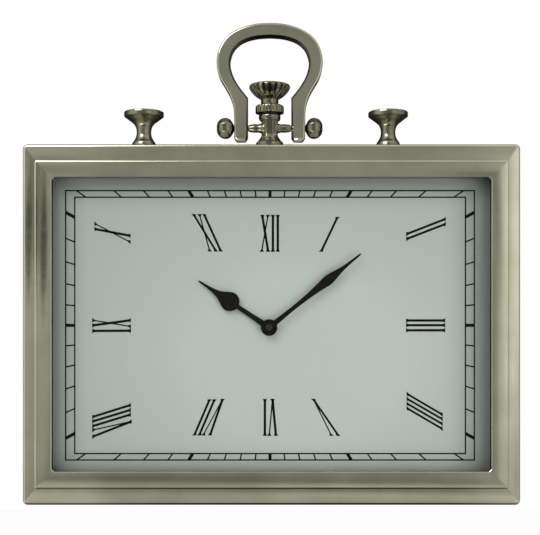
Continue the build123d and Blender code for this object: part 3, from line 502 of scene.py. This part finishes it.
# The post's cross arms, as (distance, radius) points from the end inwards
ARM_END = 17.4
ARM_CURVE = [(ARM_END, 2.6), (15.6, 3.1), (12.6, 3.5), (9.8, 3.4), (7.8, 3.8), (5.4, 4.9)]
KNURL_GROOVES = 20
KNURL_DEPTH = 0.55
KNURL_HEIGHTS = (6.4, 12.2)
COLLAR_PROFILE = [
    (0, 0), (7.6, 0), (8.3, 0.5), (8.8, 1.6), (9.0, 3.0), (8.9, 4.2), (8.4, 5.1), (7.9, 5.5),
    (7.9, 5.9), (10.9, 6.1), (11.5, 6.4), (11.7, 7.0), (11.7, 9.0), (11.7, 10.8), (11.6, 11.6),
    (11.2, 12.3), (10.2, 12.9), (8.4, 13.5), (0, 13.7),
]
CROWN_FLUTES = 20
FLUTE_DEPTH = 0.13
CROWN_STEM = [(0, 0), (7.2, 0), (7.2, 3.4)]
CROWN_BELL = [
    (7.4, 3.8), (9.0, 5.0), (11.2, 6.4), (13.4, 8.4), (15.3, 10.6), (16.5, 12.7), (16.9, 13.8),
    (16.8, 14.9), (16.2, 15.7), (15.4, 16.1), (12.0, 16.9), (8.0, 17.7), (4.0, 18.2), (0, 18.4),
]


def add_fitting(name, shape, node):
    """Piece of small nickel work that stays with the case."""
    add_piece(name, shape, small_nickel, CASE, node)


def build_knob(name, x, node):
    profile = KNOB_FOOT + smooth_profile(KNOB_NECK) + KNOB_HEAD
    add_fitting(name, lathe(profile, (x, ROW_Y, CASE_TOP_Z)), node)


def clamped(value):
    return min(1.0, max(0.0, value))


def column_flats(angle, radius, height):
    """Soft flats that fade in above the post's foot."""
    share = clamped((height - 7.0) / 3.0)
    return radius + share * (flattened(angle, radius) - radius)


def build_post():
    profile = POST_FOOT + smooth_profile(POST_COLUMN) + [(0, POST_HEIGHT)]
    column = lathe(profile, (STEM_X, ROW_Y, CASE_TOP_Z), shape=column_flats)
    arms = smooth_profile(ARM_CURVE)
    outline = [(ARM_END, 0)] + arms
    outline += [(-distance, radius) for distance, radius in reversed(arms)]
    outline += [(-ARM_END, 0)]
    add_fitting("post_and_arms", join_parts([column, turned_sideways(outline)]), "stem_post")


def knurl(angle, radius, height):
    """Upright grooves round the collar's broad band."""
    if KNURL_HEIGHTS[0] < height < KNURL_HEIGHTS[1]:
        return radius - KNURL_DEPTH * max(0.0, math.cos(KNURL_GROOVES * (angle + 0.08))) ** 5
    return radius


def build_collar():
    base = (STEM_X, ROW_Y, CASE_TOP_Z + POST_HEIGHT)
    add_fitting("collar", lathe(COLLAR_PROFILE, base, 192, knurl), "stem_collar")


def fluting(angle, radius, height):
    """Flutes that start above the crown's stem and run out at its rim."""
    share = clamped((height - 3.4) / 1.6) * clamped((15.5 - height) / 1.4)
    hollow = max(0.0, math.cos(CROWN_FLUTES * angle)) ** 0.8
    return radius * (1 - FLUTE_DEPTH * share * hollow)


def build_crown():
    profile = CROWN_STEM + smooth_profile(CROWN_BELL)
    add_fitting("fluted_crown", lathe(profile, (STEM_X, ROW_Y, CROWN_Z), 240, fluting), "crown")


def spaced(line, count):
    """The same line as count + 1 points at even distances."""
    lengths = [0.0]
    for a, b in zip(line, line[1:]):
        lengths.append(lengths[-1] + math.dist(a, b))
    points = []
    index = 0
    for step in range(count + 1):
        target = lengths[-1] * step / count
        while index < len(line) - 2 and lengths[index + 1] < target:
            index += 1
        t = (target - lengths[index]) / (lengths[index + 1] - lengths[index])
        points.append(tuple(a + (b - a) * t for a, b in zip(line[index], line[index + 1])))
    return points


# Bow: half of its outer and inner line, from the top to the leg, over the case top
BOW_OUTER = [
    (0, 102.4), (10.2, 101.8), (19.8, 99.6), (28.4, 96.0), (35.6, 90.8), (40.8, 83.0),
    (43.4, 73.0), (42.8, 63.6), (40.4, 56.2), (36.4, 49.4), (32.6, 42.4), (30.0, 34.4),
    (29.2, 26.0),
]
BOW_INNER = [
    (0, 91.1), (9.6, 90.4), (18.0, 88.4), (24.6, 85.0), (29.6, 79.4), (32.2, 71.0),
    (31.2, 63.0), (28.2, 55.6), (23.4, 48.2), (17.8, 41.2),
]
BOW_DEPTH = 5.5
BOW_ROUNDING = 1.7
BOW_BEVEL = 1.6
ROUNDING_STEPS = 6
LEG_END = 5.3
CURVE_STEPS = 8
# Points of the outer and the inner line where the head of the bow ends, and spans either side
HEAD_OUTER = 6
HEAD_INNER = 5
HEAD_SPANS = 36
LEG_SPANS = 30


def bow_section(outer, inner, shrink=0.0):
    """Outline of the bar between two points, rounded on the outside and bevelled inside."""
    width = math.dist(outer, inner)
    across = ((inner[0] - outer[0]) / width, (inner[1] - outer[1]) / width)
    half = [(shrink, -BOW_DEPTH + BOW_ROUNDING + shrink)]
    for step in range(1, ROUNDING_STEPS):
        angle = math.radians(90 * step / ROUNDING_STEPS)
        half.append((shrink + BOW_ROUNDING * (1 - math.cos(angle)),
                     -BOW_DEPTH + BOW_ROUNDING + shrink - BOW_ROUNDING * math.sin(angle)))
    half += [(shrink + BOW_ROUNDING, -BOW_DEPTH + shrink),
             (width * 0.5, -BOW_DEPTH + shrink + 0.06),
             (width - BOW_BEVEL - shrink, -BOW_DEPTH + 0.22 + shrink),
             (width - shrink, -BOW_DEPTH + 3.0)]
    whole = half + [(along, -depth) for along, depth in reversed(half)]
    return [(STEM_X + outer[0] + across[0] * along, ROW_Y + depth,
             CASE_TOP_Z + outer[1] + across[1] * along) for along, depth in whole]


def build_bow():
    """Bow bar swept between its outer and inner line, with bevelled leg ends."""
    outer = smooth_profile(BOW_OUTER, CURVE_STEPS)
    inner = smooth_profile(BOW_INNER, CURVE_STEPS)
    split_outer = HEAD_OUTER * CURVE_STEPS
    split_inner = HEAD_INNER * CURVE_STEPS
    pairs = list(zip(spaced(outer[:split_outer + 1], HEAD_SPANS),
                     spaced(inner[:split_inner + 1], HEAD_SPANS)))
    pairs += list(zip(spaced(outer[split_outer:], LEG_SPANS),
                      spaced(inner[split_inner:], LEG_SPANS)))[1:]
    leg_top = (BOW_OUTER[-1], BOW_INNER[-1])
    for share in (0.25, 0.5, 0.75, 1.0):
        pairs.append(tuple((x, z + (LEG_END + 3.4 - z) * share) for x, z in leg_top))
    sections = [bow_section(a, b) for a, b in pairs]
    for rise, shrink in ((2.6, 0.25), (0.7, 1.9), (0.0, 2.6)):
        sections.append(bow_section(*[(x, LEG_END + rise) for x, _ in leg_top], shrink * 0.8))
    mirrored = [[(2 * STEM_X - x, y, z) for x, y, z in section]
                for section in reversed(sections[1:])]
    add_piece("bow_bar", capped(mirrored + sections), bow_nickel, "bow",
              "bow_handle", sharp=30.0)


# Ball ends: (distance from the stem, radius) points
BALL_NECK = [(29.5, 0), (29.5, 3.0), (29.7, 3.2)]
BALL_CURVE = [
    (30.1, 3.8), (31.2, 5.9), (33.0, 7.8), (35.4, 8.75), (38.0, 8.6), (40.4, 7.6), (42.2, 5.8),
]
BALL_TIP = [(43.0, 4.4), (43.4, 3.0), (43.4, 0)]


def build_ball(name, side, node):
    profile = BALL_NECK + smooth_profile(BALL_CURVE) + BALL_TIP
    add_fitting(name, turned_sideways(profile, side, 96, True), node)


# Hands: distance from the hub's middle and half width, in millimetres
HOUR_EDGE = [
    (4.0, 2.4), (9.7, 2.25), (19.4, 2.0), (29.0, 1.85), (30.4, 2.1), (31.1, 3.6), (32.2, 5.2),
    (33.8, 6.5), (35.7, 7.5), (38.1, 7.9), (40.7, 7.3), (43.9, 5.6), (46.8, 3.95), (50.0, 2.65),
    (53.2, 1.9), (58.1, 1.3), (63.7, 0.95), (67.5, 0.65), (68.4, 0.25),
]
MINUTE_EDGE = [
    (4.0, 2.3), (9.7, 2.1), (19.4, 1.8), (29.0, 1.8), (38.7, 2.1), (48.4, 2.75), (55.7, 3.6),
    (61.0, 4.1), (66.1, 3.5), (71.8, 2.4), (77.4, 1.6), (83.9, 1.15), (90.3, 0.9), (94.0, 0.7),
    (94.9, 0.25),
]
HUB_RADIUS = 6.7
HUB_STEPS = 72
HAND_THICKNESS = 0.5
HAND_EASE = 0.2
HOUR_DEGREES = 146.5
MINUTE_DEGREES = 38.8
HOUR_LEVEL = 3.4
MINUTE_LEVEL = 4.9


def build_hand(name, edge, degrees, level, body, node):
    """Flat steel blade with eased edges on a round hub; level is how far before the dial."""
    back = DIAL_FACE_Y - level
    front = back - HAND_THICKNESS
    side = front + HAND_EASE
    angle = math.radians(degrees)
    cosine, sine = math.cos(angle), math.sin(angle)
    rings = []
    for along, half in smooth_profile(edge, 4):
        ease = min(0.25, half * 0.5)
        section = ((-half, back), (-half, side), (ease - half, front),
                   (half - ease, front), (half, side), (half, back))
        rings.append([(ARBOR_X + along * cosine - off * sine, y,
                       ARBOR_Z + along * sine + off * cosine) for off, y in section])
    hub = []
    for radius, y in ((HUB_RADIUS, back), (HUB_RADIUS, side), (HUB_RADIUS - 0.3, front),
                      (5.5, front), (5.2, side), (3.6, side), (3.4, front)):
        ring = []
        for step in range(HUB_STEPS):
            turn = math.tau * step / HUB_STEPS
            ring.append((ARBOR_X + radius * math.cos(turn), y, ARBOR_Z + radius * math.sin(turn)))
        hub.append(ring)
    add_piece(name, join_parts([capped(rings), capped(hub)]), SURFACES[BLACK_SLOT], body,
              node, sharp=25.0)


# Dial print. Places are read in the photograph's pixels at the depth of the dial.
PRINT_SCALE = 0.8096
AXIS_PX = 271.5
AXIS_PY = 324.6
TRACK_CENTRE = (270.0, 325.35)
TRACK_OUTER = (65.6, 190.6, 474.4, 460.0)
TRACK_INNER = (74.7, 197.2, 465.5, 453.6)
TRACK_LINE = 1.4
FIVE_MINUTE_LINE = 3.2
# The rays of the minute marks fan out this much more to the sides than even angles would
RAY_SPREAD = 1.044
# The ink sinks a little into the dial's face, so that no gap shows
PRINT_BACK = DIAL_FACE_Y + 0.02
PRINT_FRONT = DIAL_FACE_Y - 0.06


def dial_point(px, py):
    return ((px - AXIS_PX) * PRINT_SCALE, CASE_MIDDLE_Z - (py - AXIS_PY) * PRINT_SCALE)


def flat_plate(outline):
    """A thin layer of ink with this outline, given in pixels."""
    front = []
    back = []
    for px, py in outline:
        x, z = dial_point(px, py)
        front.append((x, PRINT_FRONT, z))
        back.append((x, PRINT_BACK, z))
    return capped([front, back])


def bar(start, end, width):
    """Straight line of ink with square ends."""
    dx, dy = end[0] - start[0], end[1] - start[1]
    length = math.hypot(dx, dy)
    nx, ny = -dy / length * width / 2, dx / length * width / 2
    return flat_plate([(start[0] + nx, start[1] + ny), (end[0] + nx, end[1] + ny),
                       (end[0] - nx, end[1] - ny), (start[0] - nx, start[1] - ny)])


def add_print(name, parts):
    """Piece of dial print; it stands for no CAD node."""
    add_piece(name, join_parts(parts), print_black, CASE, smooth=False)


def reach_of(ray, edges):
    """Point where a ray from the middle of the track meets a rectangle of pixels."""
    left, top, right, bottom = edges
    reach = []
    if abs(ray[0]) > 1e-6:
        reach.append(((right if ray[0] > 0 else left) - TRACK_CENTRE[0]) / ray[0])
    if abs(ray[1]) > 1e-6:
        reach.append(((bottom if ray[1] > 0 else top) - TRACK_CENTRE[1]) / ray[1])
    far = min(reach)
    return (TRACK_CENTRE[0] + far * ray[0], TRACK_CENTRE[1] + far * ray[1])


def build_track():
    """Two rectangles with sixty marks between them, broader at every five minutes."""
    parts = []
    half = TRACK_LINE / 2
    for left, top, right, bottom in (TRACK_OUTER, TRACK_INNER):
        for level in (top, bottom):
            parts.append(bar((left - half, level), (right + half, level), TRACK_LINE))
        for side in (left, right):
            parts.append(bar((side, top), (side, bottom), TRACK_LINE))
    for minute in range(60):
        angle = math.radians(6 * minute)
        ray = (RAY_SPREAD * math.sin(angle), -math.cos(angle))
        width = FIVE_MINUTE_LINE if minute % 5 == 0 else TRACK_LINE
        parts.append(bar(reach_of(ray, TRACK_INNER), reach_of(ray, TRACK_OUTER), width))
    add_print("minute_track", parts)


# Stroke widths of the numerals and half the width of a serif, in pixels
THICK = 2.45
THIN = 1.35
SERIF = 2.15
# Each stroke: start, end, width. Upright numerals end parallel to the horizontal and
# sideways ones parallel to the vertical.
UPRIGHT_STROKES = [
    ((262.2, 214.8), (268.2, 251.8), THICK), ((268.05, 214.8), (261.6, 251.8), THIN),
    ((272.9, 214.8), (272.9, 251.8), THICK), ((277.8, 214.8), (277.8, 251.8), THICK),
    ((337.7, 216.8), (321.0, 251.8), THICK),
    ((193.3, 214.0), (216.3, 251.5), THICK), ((199.3, 214.0), (209.8, 251.5), THIN),
    ((203.9, 214.0), (221.0, 251.5), THICK),
    ((313.1, 398.8), (331.7, 435.9), THIN), ((313.1, 398.8), (338.6, 435.9), THICK),
    ((264.9, 399.0), (264.9, 435.9), THICK), ((272.5, 398.8), (269.2, 435.9), THIN),
    ((272.5, 398.8), (276.0, 435.9), THICK),
    ((209.7, 399.3), (194.2, 435.5), THICK), ((214.6, 399.3), (199.1, 435.5), THICK),
    ((222.8, 398.8), (203.0, 435.5), THIN), ((222.8, 398.8), (209.9, 435.5), THICK),
]
SIDEWAYS_STROKES = [
    ((406.1, 234.3), (445.9, 218.8), THICK), ((406.1, 239.2), (445.9, 223.8), THICK),
    ((406.0, 320.5), (445.3, 320.5), THICK), ((406.0, 325.2), (445.3, 325.2), THICK),
    ((406.0, 330.3), (445.3, 330.3), THICK),
    ((406.6, 393.6), (442.8, 414.9), THICK), ((406.6, 398.5), (442.8, 419.4), THICK),
    ((406.6, 403.3), (442.8, 424.3), THICK), ((406.6, 408.0), (442.8, 429.2), THICK),
    ((130.9, 404.9), (92.1, 417.1), THICK), ((130.9, 409.8), (92.1, 421.6), THICK),
    ((130.9, 414.4), (92.1, 426.3), THICK), ((131.7, 421.4), (92.1, 430.2), THIN),
    ((131.7, 421.4), (92.1, 436.9), THICK),
    ((92.1, 320.1), (130.9, 326.5), THIN), ((92.1, 325.5), (130.9, 320.2), THICK),
    ((92.1, 330.9), (130.9, 330.7), THICK),
    ((94.3, 223.3), (130.5, 242.3), THIN), ((94.3, 228.9), (130.5, 235.8), THICK),
]


def stroke(start, end, width, sideways):
    """Stroke with ends cut along one direction and small flared serifs."""
    across = (0, 1) if sideways else (1, 0)
    half = width / 2
    outline = []
    rises = [(0.0, SERIF), (0.022, SERIF - 0.2), (0.048, max(half, 1.0) + 0.15), (0.078, half)]
    levels = rises + [(1 - along, wide) for along, wide in reversed(rises)]
    for sign in (1, -1):
        ordered = levels if sign > 0 else list(reversed(levels))
        for along, wide in ordered:
            px = start[0] + (end[0] - start[0]) * along + sign * across[0] * wide
            py = start[1] + (end[1] - start[1]) * along + sign * across[1] * wide
            outline.append((px, py))
    return flat_plate(outline)


def build_numerals():
    parts = [stroke(*row, False) for row in UPRIGHT_STROKES]
    parts += [stroke(*row, True) for row in SIDEWAYS_STROKES]
    add_print("roman_numerals", parts)


build_case()
build_bezel()
build_knob("knob_left", LEFT_KNOB_X, "left_knob")
build_knob("knob_right", RIGHT_KNOB_X, "right_knob")
build_post()
build_collar()
build_crown()
build_bow()
build_ball("ball_left", -1, "left_ball_end")
build_ball("ball_right", 1, "right_ball_end")
build_hand("hour_blade", HOUR_EDGE, HOUR_DEGREES, HOUR_LEVEL, "hour", "hour_hand")
build_hand("minute_blade", MINUTE_EDGE, MINUTE_DEGREES, MINUTE_LEVEL,
           "minute", "minute_hand")
build_track()
build_numerals()


# Camera, floor, light. Shifts are in pixels of the photograph, places in metres.
PHOTO_WIDTH = 540
SHIFT_X = -1.5
SHIFT_Y = 57.1
CAMERA_Y = -0.950
LENS = 75
SENSOR = 36
FLOOR_Z = -1.25
FLOOR_HALF = 6
# Share of pure white in the floor as the camera sees it
FLOOR_WHITE = 0.94
FILL_STRENGTH = 0.55
ROOM_RADIUS = 3.0
ROOM_CENTRE = (0, -0.3, CASE_MIDDLE_Z * MM)


def build_camera():
    data = bpy.data.cameras.new("camera")
    data.lens = LENS
    data.sensor_width = SENSOR
    data.shift_x = SHIFT_X / PHOTO_WIDTH
    data.shift_y = SHIFT_Y / PHOTO_WIDTH
    camera = bpy.data.objects.new("camera", data)
    camera.location = (0, CAMERA_Y, CASE_MIDDLE_Z * MM)
    camera.rotation_euler = (math.radians(90), 0, 0)
    bpy.context.scene.collection.objects.link(camera)
    bpy.context.scene.camera = camera


# Grey of the room by direction, from -1 at position 0 to +1 at position 1
ROOM_TONES = {
    "Z": [
        (0.0, 0.02), (0.20, 0.05), (0.28, 0.32), (0.345, 0.42), (0.38, 0.185), (0.42, 0.185),
        (0.47, 0.255), (0.62, 0.27), (0.72, 0.24), (0.82, 0.42), (0.93, 0.64),
    ],
    "X": [
        (0.0, 0.42), (0.10, 0.50), (0.22, 0.20), (0.30, 0.10), (0.38, 0.08), (0.42, 0.0),
        (0.62, 0.0), (0.645, 0.10), (0.67, 0.12), (0.72, 0.20), (0.80, 0.22), (0.94, 0.26),
    ],
    "Y": [(0.0, 1.0), (0.45, 1.0), (0.58, 0.70), (0.70, 0.18), (1.0, 0.04)],
}
# Patches of the room: direction, full within, gone beyond, strength
ROOM_PATCHES = [
    ((-0.30, -0.95, 0.10), 0.03, 0.075, 0.30),
    ((-0.31, -0.94, 0.19), 0.04, 0.14, 0.62),
    ((-0.42, -0.90, 0.10), 0.04, 0.08, 0.32),
    ((-0.43, -0.88, 0.21), 0.05, 0.14, 0.55),
    ((0.56, -0.81, 0.16), 0.14, 0.36, 1.60),
    ((0.32, -0.94, -0.09), 0.07, 0.19, 1.45),
    ((0.27, -0.95, 0.09), 0.03, 0.10, 0.72),
    ((-0.15, -0.95, -0.27), 0.05, 0.20, 0.78),
]


def tone_ramp(nodes, links, value, stops):
    """Grey value read from a list of (position, grey) stops."""
    ramp = nodes.new("ShaderNodeValToRGB")
    elements = ramp.color_ramp.elements
    while len(elements) < len(stops):
        elements.new(0.5)
    for element, (position, grey) in zip(elements, stops):
        element.position = position
        element.color = (grey, grey, 0.93 * grey, 1)
    links.new(value, ramp.inputs[0])
    return ramp.outputs[0]


def build_room():
    """The room that the polished metal mirrors: a dome of soft grey with light and dark zones."""
    material = bpy.data.materials.new("room")
    material.use_nodes = True
    nodes = material.node_tree.nodes
    links = material.node_tree.links
    nodes.clear()
    output = nodes.new("ShaderNodeOutputMaterial")
    emission = nodes.new("ShaderNodeEmission")
    links.new(emission.outputs[0], output.inputs[0])
    coordinates = nodes.new("ShaderNodeTexCoord")
    wobble = nodes.new("ShaderNodeTexNoise")
    wobble.inputs["Scale"].default_value = 1.1
    wobble.inputs["Detail"].default_value = 2.0
    links.new(coordinates.outputs["Object"], wobble.inputs["Vector"])
    offset = nodes.new("ShaderNodeVectorMath")
    offset.operation = "MULTIPLY_ADD"
    offset.inputs[1].default_value = (0.5, 0.5, 0.5)
    offset.inputs[2].default_value = (-0.25, -0.25, -0.25)
    links.new(wobble.outputs["Color"], offset.inputs[0])
    shifted = nodes.new("ShaderNodeVectorMath")
    shifted.operation = "ADD"
    links.new(coordinates.outputs["Object"], shifted.inputs[0])
    links.new(offset.outputs[0], shifted.inputs[1])
    unit = nodes.new("ShaderNodeVectorMath")
    unit.operation = "NORMALIZE"
    links.new(shifted.outputs[0], unit.inputs[0])
    parts = nodes.new("ShaderNodeSeparateXYZ")
    links.new(unit.outputs[0], parts.inputs[0])
    tones = {}
    for axis, stops in ROOM_TONES.items():
        lifted = nodes.new("ShaderNodeMath")
        lifted.operation = "MULTIPLY_ADD"
        lifted.inputs[1].default_value = 0.5
        lifted.inputs[2].default_value = 0.5
        links.new(parts.outputs[axis], lifted.inputs[0])
        tones[axis] = tone_ramp(nodes, links, lifted.outputs[0], stops)
    total = blended(nodes, links, "ADD", tones["Z"], tones["X"])
    links.new(blended(nodes, links, "MULTIPLY", total, tones["Y"]), emission.inputs["Color"])
    strength = None
    for direction, full, gone, factor in ROOM_PATCHES:
        away = nodes.new("ShaderNodeVectorMath")
        away.operation = "DISTANCE"
        away.inputs[1].default_value = direction
        links.new(unit.outputs[0], away.inputs[0])
        near = nodes.new("ShaderNodeMapRange")
        near.interpolation_type = "SMOOTHSTEP"
        near.inputs["From Min"].default_value = full
        near.inputs["From Max"].default_value = gone
        near.inputs["To Min"].default_value = factor
        links.new(away.outputs["Value"], near.inputs["Value"])
        product = nodes.new("ShaderNodeMath")
        product.operation = "MULTIPLY"
        product.inputs[1].default_value = 1.0
        links.new(near.outputs[0], product.inputs[0])
        if strength is not None:
            links.new(strength, product.inputs[1])
        strength = product.outputs[0]
    links.new(strength, emission.inputs["Strength"])
    mesh = bpy.data.meshes.new("room")
    sphere = bmesh.new()
    bmesh.ops.create_icosphere(sphere, subdivisions=3, radius=ROOM_RADIUS)
    sphere.to_mesh(mesh)
    sphere.free()
    mesh.materials.append(material)
    room = bpy.data.objects.new("room", mesh)
    bpy.context.scene.collection.objects.link(room)
    room.location = ROOM_CENTRE
    room.visible_camera = False
    room.visible_diffuse = False
    room.visible_shadow = False
    room.visible_transmission = False


def build_floor():
    """White floor that the camera sees as nearly pure white and that no metal mirrors."""
    mesh = bpy.data.meshes.new("floor")
    half = FLOOR_HALF
    mesh.from_pydata([(-half, -half, FLOOR_Z), (half, -half, FLOOR_Z), (half, half, FLOOR_Z),
                      (-half, half, FLOOR_Z)], [], [(0, 1, 2, 3)])
    material, nodes, links, shader = new_material("floor")
    shader.inputs["Base Color"].default_value = (0.92, 0.92, 0.91, 1)
    shader.inputs["Roughness"].default_value = 0.8
    lift = nodes.new("ShaderNodeEmission")
    path = nodes.new("ShaderNodeLightPath")
    share = nodes.new("ShaderNodeMath")
    share.operation = "MULTIPLY"
    share.inputs[1].default_value = FLOOR_WHITE
    links.new(path.outputs["Is Camera Ray"], share.inputs[0])
    blend = nodes.new("ShaderNodeMixShader")
    links.new(share.outputs[0], blend.inputs[0])
    links.new(shader.outputs[0], blend.inputs[1])
    links.new(lift.outputs[0], blend.inputs[2])
    links.new(blend.outputs[0], nodes["Material Output"].inputs[0])
    mesh.materials.append(material)
    floor = bpy.data.objects.new("floor", mesh)
    bpy.context.scene.collection.objects.link(floor)
    floor.visible_glossy = False


def build_world():
    """White where it's seen, mirrored or looked at through glass, and a weaker fill otherwise."""
    world = bpy.data.worlds.new("world")
    bpy.context.scene.world = world
    world.use_nodes = True
    nodes = world.node_tree.nodes
    links = world.node_tree.links
    nodes.clear()
    output = nodes.new("ShaderNodeOutputWorld")
    mix = nodes.new("ShaderNodeMixShader")
    for socket, strength in ((1, FILL_STRENGTH), (2, 1.0)):
        background = nodes.new("ShaderNodeBackground")
        background.inputs["Color"].default_value = (1, 1, 1, 1)
        background.inputs["Strength"].default_value = strength
        links.new(background.outputs[0], mix.inputs[socket])
    path = nodes.new("ShaderNodeLightPath")
    seen = path.outputs["Is Camera Ray"]
    for kind in ("Is Glossy Ray", "Is Transmission Ray"):
        larger = nodes.new("ShaderNodeMath")
        larger.operation = "MAXIMUM"
        links.new(seen, larger.inputs[0])
        links.new(path.outputs[kind], larger.inputs[1])
        seen = larger.outputs[0]
    links.new(seen, mix.inputs[0])
    links.new(mix.outputs[0], output.inputs[0])


def area_light(name, place, target, size, power):
    data = bpy.data.lights.new(name, "AREA")
    data.shape = "RECTANGLE"
    data.size = size[0]
    data.size_y = size[1]
    data.energy = power
    light = bpy.data.objects.new(name, data)
    light.location = place
    light.rotation_euler = (Vector(target) - Vector(place)).to_track_quat("-Z", "Y").to_euler()
    bpy.context.scene.collection.objects.link(light)
    return light


build_camera()
build_floor()
build_room()
build_world()
KEY_WATTS = 16
FILL_WATTS = 9
middle = (0, -0.02, CASE_MIDDLE_Z * MM)
area_light("key_light", (-0.9, -1.3, 1.3), middle, (1.2, 1.0), KEY_WATTS)
fill_light = area_light("fill_light", (1.1, -1.3, -0.4), middle, (1.0, 1.0), FILL_WATTS)
# The outer band would mirror the fill light as a hard white patch
fill_light.visible_glossy = False

bpy.context.scene.view_settings.view_transform = "Standard"
